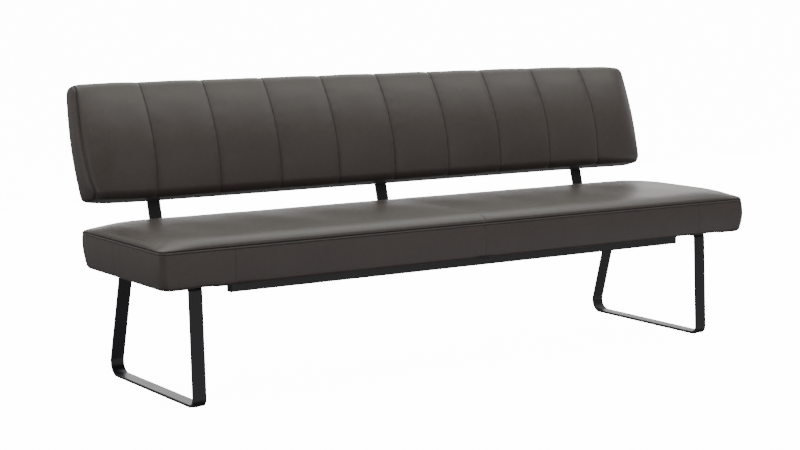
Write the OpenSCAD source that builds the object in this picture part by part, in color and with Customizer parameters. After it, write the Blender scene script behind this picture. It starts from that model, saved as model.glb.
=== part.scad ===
// Upholstered bench: a channelled back cushion and a crowned seat on two flat-bar sled legs.
// Lengths are in millimetres and angles in degrees. The front faces -Y and +Z points up.
// The origin lies on the floor, at the centre of the bench's plan.

/* [Seat] */
// Length of the seat along its top seam
seat_length = 2211; // [1700:10:2600]
// Depth of the seat along its top seam
seat_depth = 537; // [460:1:620]
// Height of the seat's underside above the floor
underside_height = 358; // [300:1:420]
// Height of the sewn side strip, from underside to seam
boxing_height = 109; // [90:1:125]
// Rise of the crown above the seam
crown_height = 30; // [15:1:50]
// Width over which the crown rises from the seam
crown_width = 80; // [60:1:110]
// Share of the crown that the corners pull down
corner_pull = 0.55; // [0:0.05:0.9]
// Distance over which a corner pulls the crown down
corner_pull_reach = 60; // [50:1:120]
// Plan radius of the seat's corners
seat_corner_radius = 25; // [17:1:30]
// Bulge of the sides at half height
side_bulge = 3.5; // [0:0.5:6]
// How far the ends draw in at the underside
end_draw = 8; // [0:1:14]
// How far the front draws in at the underside
front_draw = 2; // [0:1:14]
// How far the rear draws in at the underside
rear_draw = 16; // [10:1:18]
// Radius of the seat's lower edge
lower_edge_radius = 9; // [5:1:14]
// Depth of the groove at the top seam
seam_groove = 1.8; // [0.5:0.1:3]

/* [Back cushion] */
// Distance of the back cushion's end seam from the end of the seat, at its head and foot
back_end_setback = 33; // [0:1:120]
// How far an end seam bows outwards at half height
end_bow = 8; // [0:0.5:12]
// Length over which an end's bow fades
end_bow_reach = 60; // [40:1:90]
// Height of the back cushion along its lean
back_height = 360; // [280:1:440]
// Lean of the back cushion and its supports
back_lean = 16; // [12:0.5:18]
// Clear height between the seat's crown and the back cushion
back_gap = 38; // [30:1:90]
// Depth of the back cushion at its fullest, measured in a seam valley
back_full_depth = 125; // [105:1:150]
// Height along the lean at which the front is fullest
fullest_height = 146; // [90:1:180]
// Radius of the front's curve
front_curve_radius = 500; // [450:10:900]
// Number of upholstered channels
channel_count = 10; // [6:1:12]
// Width of the outermost channel at each end
outer_channel_width = 205; // [190:1:240]
// How far a channel stands out beyond its seams
channel_puff = 8; // [4:0.5:14]
// Sharpness of the seam valleys
valley_sharpness = 2.6; // [2:0.1:5]
// Depth of the end panel at its foot
end_depth_low = 96; // [76:1:110]
// Depth of the end panel at its head
end_depth_high = 70; // [66:1:100]
// Length over which the front swells from an end seam
end_swell_width = 90; // [50:1:100]
// Bulge of the end panels
end_panel_bulge = 6; // [4:0.5:16]
// Distance from its edge over which an end panel rounds
end_panel_rounding = 34; // [24:1:38]
// How far the cushion's corners drop at an end seam
end_corner_drop = 6; // [0:0.5:8]
// Length over which the corners drop
end_drop_width = 50; // [30:1:80]
// Radius of the lower front edge
low_edge_radius = 27; // [16:1:34]
// Radius of the upper front edge
high_edge_radius = 29; // [20:1:38]
// Radius of the rear edges
rear_edge_radius = 10; // [6:1:12]

/* [Upholstery] */
// Thickness of the leather cover with its bonded fleece
cover_thickness = 2.5; // [2:0.1:4]
// Thickness of the turned-under leather edge and of the lining beside it
lining_thickness = 1.5; // [1:0.1:2.5]
// Width of the leather edge turned under the seat frame
turned_edge = 42; // [36:1:60]
// Clearance between foam and cover
foam_clearance = 0.5; // [0.3:0.1:1]
// Width of one webbing strap
webbing_width = 70; // [50:1:80]
// Thickness of the webbing
webbing_thickness = 1.5; // [1:0.1:2.5]
// Distance between two webbing straps
webbing_spacing = 125; // [100:1:180]

/* [Seat frame] */
// Height of the seat frame's timbers
timber_height = 45; // [36:1:55]
// Width of the long front and rear timbers
beam_width = 70; // [60:1:80]
// Distance of the timber frame from the top seam's outline
frame_inset = 31; // [28:1:34]
// Width of the boards that take the sled legs
end_board_width = 148; // [130:1:170]
// Width of the boards that take the back supports
cross_board_width = 90; // [70:1:110]

/* [Back board] */
// Thickness of the board in the back cushion
board_thickness = 12; // [10:1:18]
// Distance of the board's edge from the cushion's outline
board_inset = 30; // [24:1:45]
// Corner radius of the board
board_corner_radius = 24; // [10:1:40]

/* [Sled legs] */
// Width of the flat bar
bar_width = 42; // [30:1:55]
// Thickness of the flat bar
bar_thickness = 8; // [6:0.5:10]
// Distance of a sled's outer face from the end of the seat
sled_inset = 118; // [85:1:130]
// Distance of the skid's front from the seat's front seam
skid_setback = 45; // [20:1:60]
// How far the skid reaches behind the seat's rear seam
skid_overhang = 78; // [60:1:100]
// Lean of the front leg
front_leg_lean = 3; // [0:0.1:6]
// Lean of the rear leg
rear_leg_lean = 15.3; // [8:0.1:18]
// Outer bend radius at the front foot
front_foot_radius = 27; // [18:1:40]
// Outer bend radius at the rear foot
rear_foot_radius = 42; // [18:1:55]
// Outer bend radius under the seat
top_bend_radius = 24; // [16:1:30]
// Number of screws in each sled
sled_screw_count = 4; // [3:1:5]
// Thickness of a floor glide
glide_thickness = 2; // [1.5:0.5:5]
// Length of a floor glide
glide_length = 70; // [40:1:90]
// Width of a floor glide
glide_width = 28; // [16:1:29]

/* [Back supports and rails] */
// Distance of an outer support's centre from the end of the seat
support_inset = 265.5; // [262:0.5:450]
// Clear gap between the seat's rear seam and the supports
support_gap = 23; // [21:1:40]
// Length of the support inside the back cushion
support_reach = 265; // [200:1:300]
// Inner bend radius of the supports
support_bend_radius = 8; // [6:1:12]
// Side length of the square rail tube
rail_size = 25; // [20:1:30]
// Wall of the rail tube
rail_wall = 2; // [1.5:0.5:3]
// Corner radius of the rail tube
rail_corner_radius = 3; // [1:0.5:4]
// Distance of the front rail from the seat's front seam
rail_setback = 59; // [45:1:65]
// Distance of a capped rail's end from the outer edge of the outer support
rail_end_setback = 6; // [2:1:8]
// Thickness of a rail cap's visible rim
cap_rim = 3; // [2:0.5:5]
// Depth of a rail cap's plug
cap_depth = 8; // [6:1:10]
// Distance of an outer rail screw from the support's centre
rail_screw_inset = 8; // [6:1:9]

/* [Screws] */
// Diameter of the screws under the seat
seat_screw_diameter = 8; // [6:1:10]
// Length of the screws that pass one bar
bar_screw_length = 50; // [45:1:54]
// Length of the screws that pass a rail's upper wall and a bar
rail_screw_length = 55; // [50:1:56]
// Diameter of the screws in the back board
back_screw_diameter = 6; // [4:1:6]
// Length of the screws in the back board
back_screw_length = 16; // [15:1:18]
// Clearance of a screw in a hole through a bar, rail or lining
screw_clearance = 1; // [0.6:0.1:1.5]

/* [Hidden] */
$fn = 48;
leather_colour = "#4b4641";
steel_colour = "#262628";
timber_colour = "burlywood";
zinc_colour = "silver";
plastic_colour = "#1b1b1c";
fabric_colour = "#2a2a2a";
foam_colour = "khaki";

// A small overlap that makes cuts run clean through
cut = 1;
// Space between two pieces that lie side by side without touching
side_clearance = 0.3;
// Radial space between a screw and its tee nut
thread_clearance = 0.08;
// Space between two coated faces that are screwed together
contact_clearance = 0.05;
// How far a corner's circle passes the straight sides, so that they cross cleanly
tangent_overlap = 0.02;

// Heights of the seat's layers, and lengths that follow from the seat's
seam_height = underside_height + boxing_height;
support_offset = seat_length / 2 - support_inset;
back_length = seat_length - 2 * back_end_setback;
seat_top = seam_height + crown_height;
timber_bottom = underside_height + lining_thickness;
timber_top = timber_bottom + timber_height;
foam_bottom = timber_top + webbing_thickness;
bar_top = underside_height - contact_clearance;
bar_bottom = bar_top - bar_thickness;
rail_bottom = bar_bottom - contact_clearance - rail_size;
rail_roof = rail_bottom + rail_size - rail_wall;

// The back cushion's own frame: depth runs forward from its rear face and height along its lean.
bar_depth = cover_thickness + foam_clearance;
board_depth = bar_depth + bar_thickness;
back_foot_height = seat_top + back_gap;
// Distance from the seat's rear seam back to the foot of the cushion's rear face
back_foot_offset = support_gap + (back_foot_height - seam_height) * tan(back_lean) + board_depth / cos(back_lean);

function flatten(lists) = [for (list = lists) for (item = list) item];
function unit(v) = v / norm(v);
function mean(points) = [for (axis = [0:len(points[0]) - 1])
  [for (p = points) p[axis]] * [for (p = points) 1] / len(points)];

// Front of the back cushion at a height. Fullness 0 is the end seam and 1 is a seam valley.
function front_depth(h, fullness) = let (
    edge = end_depth_low + (end_depth_high - end_depth_low) * h / back_height,
    full = back_full_depth - pow(h - fullest_height, 2) / (2 * front_curve_radius)
  ) edge + (full - edge) * fullness;
// Angle of the front's outward normal above the depth axis
function front_angle(h, fullness) = -atan(front_depth(h + 0.5, fullness) - front_depth(h - 0.5, fullness));

// A station round the back cushion's section is [depth, height, normal angle, share of the puff].
function arc_stations(centre, radius, angles, shares) = [for (i = [0:len(angles) - 1])
  [centre.x + radius * cos(angles[i]), centre.y + radius * sin(angles[i]), angles[i], shares[i]]];
function back_stations(fullness) = let (
    low_angle = front_angle(low_edge_radius, fullness),
    low_height = low_edge_radius * (1 + sin(low_angle)),
    low_centre = [front_depth(low_height, fullness) - low_edge_radius * cos(low_angle), low_edge_radius],
    high_angle = front_angle(back_height - high_edge_radius, fullness),
    high_height = back_height - high_edge_radius * (1 - sin(high_angle)),
    high_centre = [front_depth(high_height, fullness) - high_edge_radius * cos(high_angle),
      back_height - high_edge_radius],
    rear = rear_edge_radius
  ) concat(
    arc_stations([rear, rear], rear, [180, 225, 270], [0, 0, 0]),
    arc_stations(low_centre, low_edge_radius, [270, 315, 360 + low_angle], [0.2, 0.7, 1]),
    [for (share = [0.17, 0.38, 0.6, 0.82])
      let (h = low_height + (high_height - low_height) * share)
      [front_depth(h, fullness), h, front_angle(h, fullness), 1]],
    arc_stations(high_centre, high_edge_radius, [high_angle, 55, 90], [1, 0.8, 0.25]),
    arc_stations([rear, back_height - rear], rear, [90, 135, 180], [0.15, 0, 0]));

// How far the front has swelled at a place along the bench: 0 at an end seam, 1 inside
function swell(x, half_length) = let (
    reach = min(max((abs(x) - half_length + end_swell_width) / end_swell_width, 0), 1)
  ) sqrt(1 - reach * reach);
inner_half = back_length / 2 - outer_channel_width;
channel_pitch = 2 * inner_half / (channel_count - 2);
// Rise of a channel between its two seams. The outer channels stay full up to the end seams.
function puff(x) = let (
    seams = (x + inner_half) / channel_pitch,
    beyond = (abs(x) - inner_half) / outer_channel_width,
    place = beyond > 0.5 ? 0 : beyond > 0 ? 1 - 2 * beyond : 1 - 2 * abs(seams - round(seams))
  ) channel_puff * (1 - pow(place, valley_sharpness));

// How far an end seam has bowed outwards at a height along the lean
function bow(height) = end_bow * sin(180 * height / back_height);

// One loop of the back cushion's surface at a place along the bench and a depth inside the cover.
// Only the outside, at depth 0, has channels. A point is [x, -depth, height] in the cushion's own frame.
function back_loop(x, depth) = let (
    place = min(abs(x) + depth, back_length / 2),
    fullness = swell(place, back_length / 2),
    rise = depth == 0 ? puff(x) * fullness : 0,
    corner = max(1 - (back_length / 2 - place) / end_drop_width, 0),
    middle = back_height / 2,
    along = 1 - end_corner_drop * corner * corner / middle,
    bow_share = pow(max(1 - (back_length / 2 - place) / end_bow_reach, 0), 2)
  ) [for (s = back_stations(fullness))
    let (lift = s[3] * rise - depth, height = middle + (s[1] + lift * sin(s[2]) - middle) * along)
    [x + sign(x) * bow_share * bow(height), -(s[0] + lift * cos(s[2])), height]];

// Middle of an end panel, in depth and height
end_middle = [-(end_depth_low + end_depth_high) / 4, back_height / 2];
// Loops of the bulging panel at one end, from its edge to its middle, at a depth inside the cover
function end_loops(side, depth) = [for (turn = [30, 55, 80])
    let (
      x = back_length / 2 - depth + end_panel_bulge * sin(turn),
      inset = end_panel_rounding * (1 - cos(turn)),
      across = 1 + inset / end_middle[0],
      along = 1 - inset / end_middle[1]
    ) [for (p = back_loop(side * x, depth)) let (height = end_middle[1] + (p.z - end_middle[1]) * along)
      [side * (x + bow(height)), end_middle[0] + (p.y - end_middle[0]) * across, height]]];
// Crests of the two end panels, at a depth inside the cover
function end_crests(depth) = [for (side = [1, -1])
  [side * (back_length / 2 - depth + end_panel_bulge + end_bow), end_middle[0], end_middle[1]]];
function reversed(list) = [for (i = [len(list) - 1:-1:0]) list[i]];

// The bench's plan is centred on the origin, from the seat's bulging front to the back's rear edge.
rearmost = max([for (s = back_stations(1)) s[1] * sin(back_lean) - s[0] * cos(back_lean)]);
total_depth = side_bulge + seat_depth + back_foot_offset + rearmost;
seat_front = side_bulge - total_depth / 2;
seat_rear = seat_front + seat_depth;
back_foot = seat_rear + back_foot_offset;

// Timber frame and rails in plan
frame_half = seat_length / 2 - frame_inset;
frame_front = seat_front + frame_inset;
frame_rear = seat_rear - frame_inset;
board_front = frame_front + beam_width;
board_rear = frame_rear - beam_width;
rail_front = seat_front + rail_setback;
front_rail_centre = rail_front + rail_size / 2;
rear_rail_centre = frame_rear - beam_width / 2;
rail_half = support_offset + bar_width / 2 - rail_end_setback - cap_rim;
sled_outer = seat_length / 2 - sled_inset;
sled_centre = sled_outer - bar_width / 2;
support_centres = [-support_offset, 0, support_offset];

// Screw places under the seat
screw_edge = 30;
sled_screw_places = [for (side = [-1, 1], i = [0:sled_screw_count - 1])
  [side * sled_centre,
   board_front + screw_edge + i * (board_rear - board_front - 2 * screw_edge) / (sled_screw_count - 1)]];
support_screw_places = [for (x = support_centres) [x, (board_front + board_rear) / 2]];
rail_screw_places = [for (x = support_centres, y = [front_rail_centre, rear_rail_centre])
  [x - sign(x) * rail_screw_inset, y]];
seat_screw_places = concat(sled_screw_places, support_screw_places, rail_screw_places);
// Screw places on the back board, as [x, height]
back_screw_places = [for (x = support_centres, share = [0.25, 0.56, 0.87]) [x, support_reach * share]];

// Sizes of the fasteners, from the screw's diameter
seat_head_diameter = seat_screw_diameter * 1.75;
seat_head_height = seat_screw_diameter * 0.55;
tee_flange_thickness = 1.5;
tee_flange_diameter = seat_screw_diameter * 2.75;
tee_barrel_diameter = seat_screw_diameter + 2.4;
tee_barrel_length = seat_screw_diameter * 1.2;
back_head_diameter = back_screw_diameter * 2;
back_head_height = back_screw_diameter / 2;
back_tee_flange = back_screw_diameter * 3;
back_tee_barrel = back_screw_diameter + 2;

// Surface through loops of equal point counts, closed at each end by a fan of triangles round a centre
module skin(loops, centres) {
  n = len(loops[0]);
  last = len(loops) - 1;
  points = concat(flatten(loops), centres);
  sides = [for (i = [0:last - 1], j = [0:n - 1], half = [0, 1])
    let (a = i * n + j, b = i * n + (j + 1) % n)
    half == 0 ? [a, a + n, b + n] : [a, b + n, b]];
  first_cap = [for (j = [0:n - 1]) [j, (j + 1) % n, n * (last + 1)]];
  last_cap = [for (j = [0:n - 1]) [last * n + (j + 1) % n, last * n + j, n * (last + 1) + 1]];
  polyhedron(points, concat(sides, first_cap, last_cap));
}

// Point at a distance from both sides of a convex outline's corner
function corner_inset(points, i, distance) = let (
    n = len(points),
    a = unit(points[(i + n - 1) % n] - points[i]),
    b = unit(points[(i + 1) % n] - points[i])
  ) points[i] + unit(a + b) * distance / sin(acos(a * b) / 2);
function corner_tangents(points, i, radius) = let (
    n = len(points),
    a = unit(points[(i + n - 1) % n] - points[i]),
    b = unit(points[(i + 1) % n] - points[i]),
    reach = radius / tan(acos(a * b) / 2)
  ) [points[i] + a * reach, points[i] + b * reach];
function inset_outline(points, distance) = [for (i = [0:len(points) - 1]) corner_inset(points, i, distance)];

// Convex outline with an arc of its own radius at each corner. A radius of 0 stays sharp.
module rounded_outline(points, radii) {
  polygon(flatten([for (i = [0:len(points) - 1])
    radii[i] > 0 ? corner_tangents(points, i, radii[i]) : [points[i]]]));
  for (i = [0:len(points) - 1])
    if (radii[i] > 0)
      translate(corner_inset(points, i, radii[i])) circle(r = radii[i] + tangent_overlap);
}
function rectangle(width, height) =
  [[-width, -height] / 2, [width, -height] / 2, [width, height] / 2, [-width, height] / 2];

// Extrudes an outline drawn in (y, z) along X, centred on x = 0.
module along_x(width) {
  rotate([90, 0, 90]) linear_extrude(height = width, center = true) children();
}

// Holes along Z through everything between two heights
module holes(places, diameter, low, high) {
  for (p = places)
    translate([p.x, p.y, low - cut]) cylinder(d = diameter, h = high - low + 2 * cut);
}

// Places children in the back cushion's own frame.
module on_back() {
  translate([0, back_foot, back_foot_height]) rotate([-back_lean, 0, 0]) children();
}

// Sled: one flat bar bent into a closed trapezoid, screwed up against the seat's underside
sled_front = seat_front + skid_setback;
skid_length = seat_depth + skid_overhang - skid_setback;
sled_height = bar_top - glide_thickness;
sled_corners = [
  [sled_front, glide_thickness],
  [sled_front + skid_length, glide_thickness],
  [sled_front + skid_length - sled_height * tan(rear_leg_lean), bar_top],
  [sled_front + sled_height * tan(front_leg_lean), bar_top]
];
sled_radii = [front_foot_radius, rear_foot_radius, top_bend_radius, top_bend_radius];
module sled(side) {
  color(steel_colour) difference() {
    translate([side * sled_centre, 0, 0]) along_x(bar_width) difference() {
      rounded_outline(sled_corners, sled_radii);
      rounded_outline(inset_outline(sled_corners, bar_thickness), [for (r = sled_radii) r - bar_thickness]);
    }
    holes(sled_screw_places, seat_screw_diameter + screw_clearance, bar_bottom, underside_height);
  }
}
module left_sled() { sled(-1); }
module right_sled() { sled(1); }

// Floor glide: a thin rounded pad under the flat part of a skid
module glide(side, y) {
  color(plastic_colour) translate([side * sled_centre, y, 0])
    linear_extrude(height = glide_thickness - contact_clearance)
    rounded_outline(rectangle(glide_width, glide_length), [for (i = [0:3]) glide_width / 2 - cut]);
}
front_glide_y = sled_front + front_foot_radius + glide_length / 2;
rear_glide_y = corner_tangents(sled_corners, 1, rear_foot_radius)[0].x - glide_length / 2;
module left_front_glide() { glide(-1, front_glide_y); }
module left_rear_glide() { glide(-1, rear_glide_y); }
module right_front_glide() { glide(1, front_glide_y); }
module right_rear_glide() { glide(1, rear_glide_y); }

// Back support: a flat bar that runs under the seat, bends up behind it and ends in the back cushion
function bar_line(depth, height) = [
  back_foot - depth * cos(back_lean) + height * sin(back_lean),
  back_foot_height + depth * sin(back_lean) + height * cos(back_lean)
];
// Place where a line along the lean, at a depth, crosses a level
function bar_crossing(depth, level) = let (p = bar_line(depth, 0))
  [p.x + (level - p.y) * tan(back_lean), level];
module support_outline() {
  past = 60;
  heel = bar_crossing(bar_depth, bar_bottom);
  bend = bar_crossing(board_depth, bar_top);
  tip = bar_line(board_depth, support_reach);
  beyond = bar_line(board_depth, support_reach + past);
  difference() {
    rounded_outline(
      [[rail_front, bar_bottom], heel, bar_line(bar_depth, support_reach), tip, [rail_front, bar_top]],
      [0, support_bend_radius + bar_thickness, 0, 0, 0]);
    rounded_outline(
      [[rail_front - past, bar_top], bend, beyond, [rail_front - past, beyond.y]],
      [0, support_bend_radius, 0, 0]);
  }
}
module support(x) {
  color(steel_colour) difference() {
    translate([x, 0, 0]) along_x(bar_width) support_outline();
    holes(concat(support_screw_places, rail_screw_places), seat_screw_diameter + screw_clearance,
      bar_bottom, underside_height);
    on_back() for (p = back_screw_places) translate([p.x, -bar_depth, p.y]) {
      rotate([90, 0, 0]) translate([0, 0, -cut])
        cylinder(d = back_screw_diameter + screw_clearance, h = bar_thickness + 2 * cut);
      rotate([90, 0, 0]) cylinder(d1 = back_head_diameter + screw_clearance, d2 = back_screw_diameter,
        h = (back_head_diameter + screw_clearance - back_screw_diameter) / 2);
    }
  }
}
module left_back_support() { support(-support_offset); }
module middle_back_support() { support(0); }
module right_back_support() { support(support_offset); }

// Rail: square tube with a cap in each end. Its screws go in from below through larger holes and hold its
// upper wall against the supports.
module rail(y) {
  color(steel_colour) difference() {
    translate([0, y, rail_bottom + rail_size / 2]) along_x(2 * rail_half) difference() {
      rounded_outline(rectangle(rail_size, rail_size), [for (i = [0:3]) rail_corner_radius]);
      square(rail_size - 2 * rail_wall, center = true);
    }
    holes(rail_screw_places, seat_screw_diameter + screw_clearance, rail_roof, bar_bottom);
    holes(rail_screw_places, seat_head_diameter + screw_clearance, rail_bottom, rail_bottom + rail_wall);
  }
}
module rail_cap(side, y) {
  plug = rail_size - 2 * rail_wall - 2 * side_clearance;
  color(plastic_colour) translate([side * rail_half, y, rail_bottom + rail_size / 2]) {
    translate([side * cap_rim / 2, 0, 0]) along_x(cap_rim)
      rounded_outline(rectangle(rail_size, rail_size), [for (i = [0:3]) rail_corner_radius]);
    translate([-side * cap_depth / 2, 0, 0]) cube([cap_depth + 0.02, plug, plug], center = true);
  }
}
module front_rail() { rail(front_rail_centre); }
module front_rail_left_cap() { rail_cap(-1, front_rail_centre); }
module front_rail_right_cap() { rail_cap(1, front_rail_centre); }
module rear_rail() { rail(rear_rail_centre); }
module rear_rail_left_cap() { rail_cap(-1, rear_rail_centre); }
module rear_rail_right_cap() { rail_cap(1, rear_rail_centre); }

// Timbers of the seat frame, drilled from below and sunk on top for the tee nuts
module timber(low, high) {
  color(timber_colour) difference() {
    translate([low.x, low.y, timber_bottom]) cube([high.x - low.x, high.y - low.y, timber_height]);
    holes(seat_screw_places, tee_barrel_diameter + 2 * thread_clearance, timber_bottom, timber_top);
    for (p = seat_screw_places) translate([p.x, p.y, timber_top - tee_flange_thickness])
      cylinder(d = tee_flange_diameter + 2 * side_clearance, h = tee_flange_thickness + cut);
  }
}
module seat_front_beam() { timber([-frame_half, frame_front], [frame_half, board_front]); }
module seat_rear_beam() { timber([-frame_half, board_rear], [frame_half, frame_rear]); }
module seat_left_end_board() { timber([-frame_half, board_front], [end_board_width - frame_half, board_rear]); }
module seat_right_end_board() { timber([frame_half - end_board_width, board_front], [frame_half, board_rear]); }
module cross_board(x) {
  timber([x - cross_board_width / 2, board_front], [x + cross_board_width / 2, board_rear]);
}
module seat_left_cross_board() { cross_board(-support_offset); }
module seat_middle_cross_board() { cross_board(0); }
module seat_right_cross_board() { cross_board(support_offset); }

// Webbing: straps across the timber frame, stapled to its two beams
strap_margin = 10;
strap_count = floor((2 * frame_half - webbing_width - 2 * strap_margin) / webbing_spacing) + 1;
module seat_webbing() {
  color(fabric_colour) for (i = [0:strap_count - 1])
    translate([(i - (strap_count - 1) / 2) * webbing_spacing - webbing_width / 2,
      frame_front + strap_margin, timber_top])
      cube([webbing_width, frame_rear - frame_front - 2 * strap_margin, webbing_thickness]);
}

// Plan of the seat: a rounded rectangle with extra points where the corners pull the crown down
corner_steps = 4;
long_shares = [0.035, 0.1, 0.3, 0.7, 0.9, 0.965];
short_shares = [0.2, 0.5, 0.8];
function between(a, b, shares) = [for (share = shares) a + (b - a) * share];
function corner_arc(centre, radius, start) = [for (i = [0:corner_steps])
  centre + radius * [cos(start + 90 * i / corner_steps), sin(start + 90 * i / corner_steps)]];
function seat_plan(half, front, rear, radius) = let (
    arcs = [
      corner_arc([half - radius, front + radius], radius, -90),
      corner_arc([half - radius, rear - radius], radius, 0),
      corner_arc([radius - half, rear - radius], radius, 90),
      corner_arc([radius - half, front + radius], radius, 180)]
  ) flatten([for (i = [0:3]) let (shares = i % 2 == 0 ? short_shares : long_shares)
    concat(arcs[i], between(arcs[i][corner_steps], arcs[(i + 1) % 4][0], shares))]);

// Side ring at a height above the underside. Depth is how far it lies inside the cover's outside.
function lower_round(height, radius) = height < radius ? radius - sqrt(pow(radius, 2) - pow(radius - height, 2)) : 0;
function side_ring(height, depth, floor_height) = let (
    t = 1 - height / boxing_height,
    bulge = side_bulge * 4 * t * (1 - t),
    edge = lower_round(height - floor_height, lower_edge_radius),
    inset = depth + edge - bulge
  ) [for (p = seat_plan(seat_length / 2 - end_draw * t * t - inset, seat_front + front_draw * t * t + inset,
      seat_rear - rear_draw * t * t - inset, seat_corner_radius - depth))
    [p.x, p.y, underside_height + height]];

// Crown ring at a distance in from the top seam
dome = 3;
crown_power = 2.5;
least_crown_radius = 8;
function crown_rise(inset) = pow(1 - pow(1 - min(inset / crown_width, 1), crown_power), 1 / crown_power);
function corner_share(p) = let (
    aside = seat_length / 2 - abs(p.x),
    across = min(p.y - seat_front, seat_rear - p.y)
  ) 1 - corner_pull * exp(-(aside * aside + across * across) / (2 * pow(corner_pull_reach, 2)));
function crown_height_at(p, inset) =
  (crown_height - dome) * crown_rise(inset) * corner_share(p) + dome * sin(180 * inset / seat_depth);
function crown_ring(inset, depth) = let (
    reach = inset + depth,
    radius = max(seat_corner_radius - depth - inset / 2, least_crown_radius)
  ) [for (p = seat_plan(seat_length / 2 - reach, seat_front + reach, seat_rear - reach, radius))
    [p.x, p.y, seam_height + crown_height_at(p, inset) - depth]];

// Outside of the seat cover, from the underside over the seam to the crown
crown_insets = concat(
  [for (share = [0.007, 0.05, 0.13, 0.25, 0.44, 0.67, 1]) crown_width * share],
  [for (share = [0.3, 0.44]) seat_depth * share]);
module seat_skin(loops) { skin(loops, [mean(loops[0]), mean(loops[len(loops) - 1])]); }
module seat_outside() {
  seam_half = 2.5;
  edge = lower_edge_radius;
  seat_skin(concat(
    [for (height = [0, 0.29 * edge, edge, 0.33 * boxing_height, 0.66 * boxing_height, boxing_height - seam_half])
      side_ring(height, 0, 0)],
    [side_ring(boxing_height, seam_groove, 0)],
    [for (inset = crown_insets) crown_ring(inset, 0)]));
}
// The same form at a depth inside the cover, without the groove
module seat_inside(depth, floor_height) {
  edge = lower_edge_radius;
  seat_skin(concat(
    [for (height = [floor_height, floor_height + 0.29 * edge, floor_height + edge,
        0.33 * boxing_height, 0.66 * boxing_height, boxing_height - depth - seam_groove])
      side_ring(height, depth, floor_height)],
    [side_ring(boxing_height - depth, depth + seam_groove, 0)],
    [for (i = [1, 2, 3, 4, 5, 6, 8]) crown_ring(crown_insets[i], depth + seam_groove / 2)]));
}
module seat_opening(gap) {
  translate([0, (seat_front + seat_rear) / 2, underside_height - cut])
    linear_extrude(height = lining_thickness + 2 * cut)
    rounded_outline(rectangle(seat_length - 2 * (turned_edge + gap), seat_depth - 2 * (turned_edge + gap)),
      [for (i = [0:3]) lower_edge_radius]);
}
module seat_cover() {
  color(leather_colour) difference() {
    seat_outside();
    seat_inside(cover_thickness, lining_thickness);
    seat_opening(0);
  }
}
module seat_foam() {
  color(foam_colour) difference() {
    seat_inside(cover_thickness + foam_clearance, lining_thickness + foam_clearance);
    translate([-frame_half - side_clearance, frame_front - side_clearance, underside_height])
      cube([2 * (frame_half + side_clearance), frame_rear - frame_front + 2 * side_clearance,
        foam_bottom - underside_height]);
  }
}
// Lining: thin cloth that closes the underside inside the turned leather edge
module seat_lining() {
  color(fabric_colour) difference() {
    intersection() {
      seat_opening(side_clearance);
      translate([-seat_length / 2, seat_front, underside_height])
        cube([seat_length, seat_depth, lining_thickness]);
    }
    holes(seat_screw_places, seat_screw_diameter + screw_clearance, underside_height, timber_bottom);
  }
}

// Places along the back cushion at which its surface is taken
valley_steps = [0, 0.07, 0.3, 0.7, 0.93];
outer_places = concat(
  [for (share = [0.07, 0.4]) inner_half + outer_channel_width * share],
  [for (share = [1, 0.5, 0.2, 0.05, 0]) back_length / 2 - end_swell_width * share]);
channel_places = concat(
  reversed(outer_places),
  [for (i = [0:channel_count - 3], step = valley_steps) inner_half - channel_pitch * (i + step)],
  [-inner_half],
  -outer_places);
module back_outside() {
  skin(concat(
    reversed(end_loops(1, 0)),
    [for (x = channel_places) back_loop(x, 0)],
    end_loops(-1, 0)), end_crests(0));
}
// Smooth form at a depth inside the cover, without the channels
module back_inside(depth) {
  places = [for (share = [0, 0.2, 0.5, 1]) back_length / 2 - depth - end_swell_width * share];
  skin(concat(
    reversed(end_loops(1, depth)),
    [for (x = concat(places, -reversed(places))) back_loop(x, depth)],
    end_loops(-1, depth)), end_crests(depth));
}
// Slab of the back cushion's frame between two depths
module back_slab(near, far) {
  translate([-back_length, -far, -back_height]) cube([2 * back_length, far - near, 3 * back_height]);
}
module bar_slots(gap, reach) {
  for (x = support_centres)
    translate([x - bar_width / 2 - gap, -board_depth - gap, -2 * low_edge_radius])
      cube([bar_width + 2 * gap, bar_thickness + 2 * gap, reach + gap + 2 * low_edge_radius]);
}
module back_cover() {
  color(leather_colour) on_back() difference() {
    back_outside();
    back_inside(cover_thickness);
    bar_slots(foam_clearance, low_edge_radius);
  }
}
module board_outline(gap) {
  rounded_outline(rectangle(back_length - 2 * (board_inset - gap), back_height - 2 * (board_inset - gap)),
    [for (i = [0:3]) board_corner_radius]);
}
module board_solid(gap) {
  translate([0, -board_depth, back_height / 2]) rotate([90, 0, 0])
    linear_extrude(height = board_thickness) board_outline(gap);
}
module back_foam() {
  color(foam_colour) on_back() difference() {
    intersection() {
      back_inside(cover_thickness + foam_clearance);
      back_slab(board_depth, 2 * back_full_depth);
    }
    board_solid(side_clearance);
  }
}
module back_rear_pad() {
  color(foam_colour) on_back() difference() {
    intersection() {
      back_inside(cover_thickness + foam_clearance);
      back_slab(0, board_depth - side_clearance);
    }
    bar_slots(foam_clearance, support_reach);
  }
}
module back_board() {
  color(timber_colour) on_back() difference() {
    board_solid(0);
    for (p = back_screw_places) translate([p.x, -board_depth + cut, p.y]) rotate([90, 0, 0]) {
      cylinder(d = back_tee_barrel + 2 * thread_clearance, h = board_thickness + 2 * cut);
      translate([0, 0, cut + board_thickness - tee_flange_thickness])
        cylinder(d = back_tee_flange + 2 * side_clearance, h = tee_flange_thickness + cut);
    }
  }
}

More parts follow.
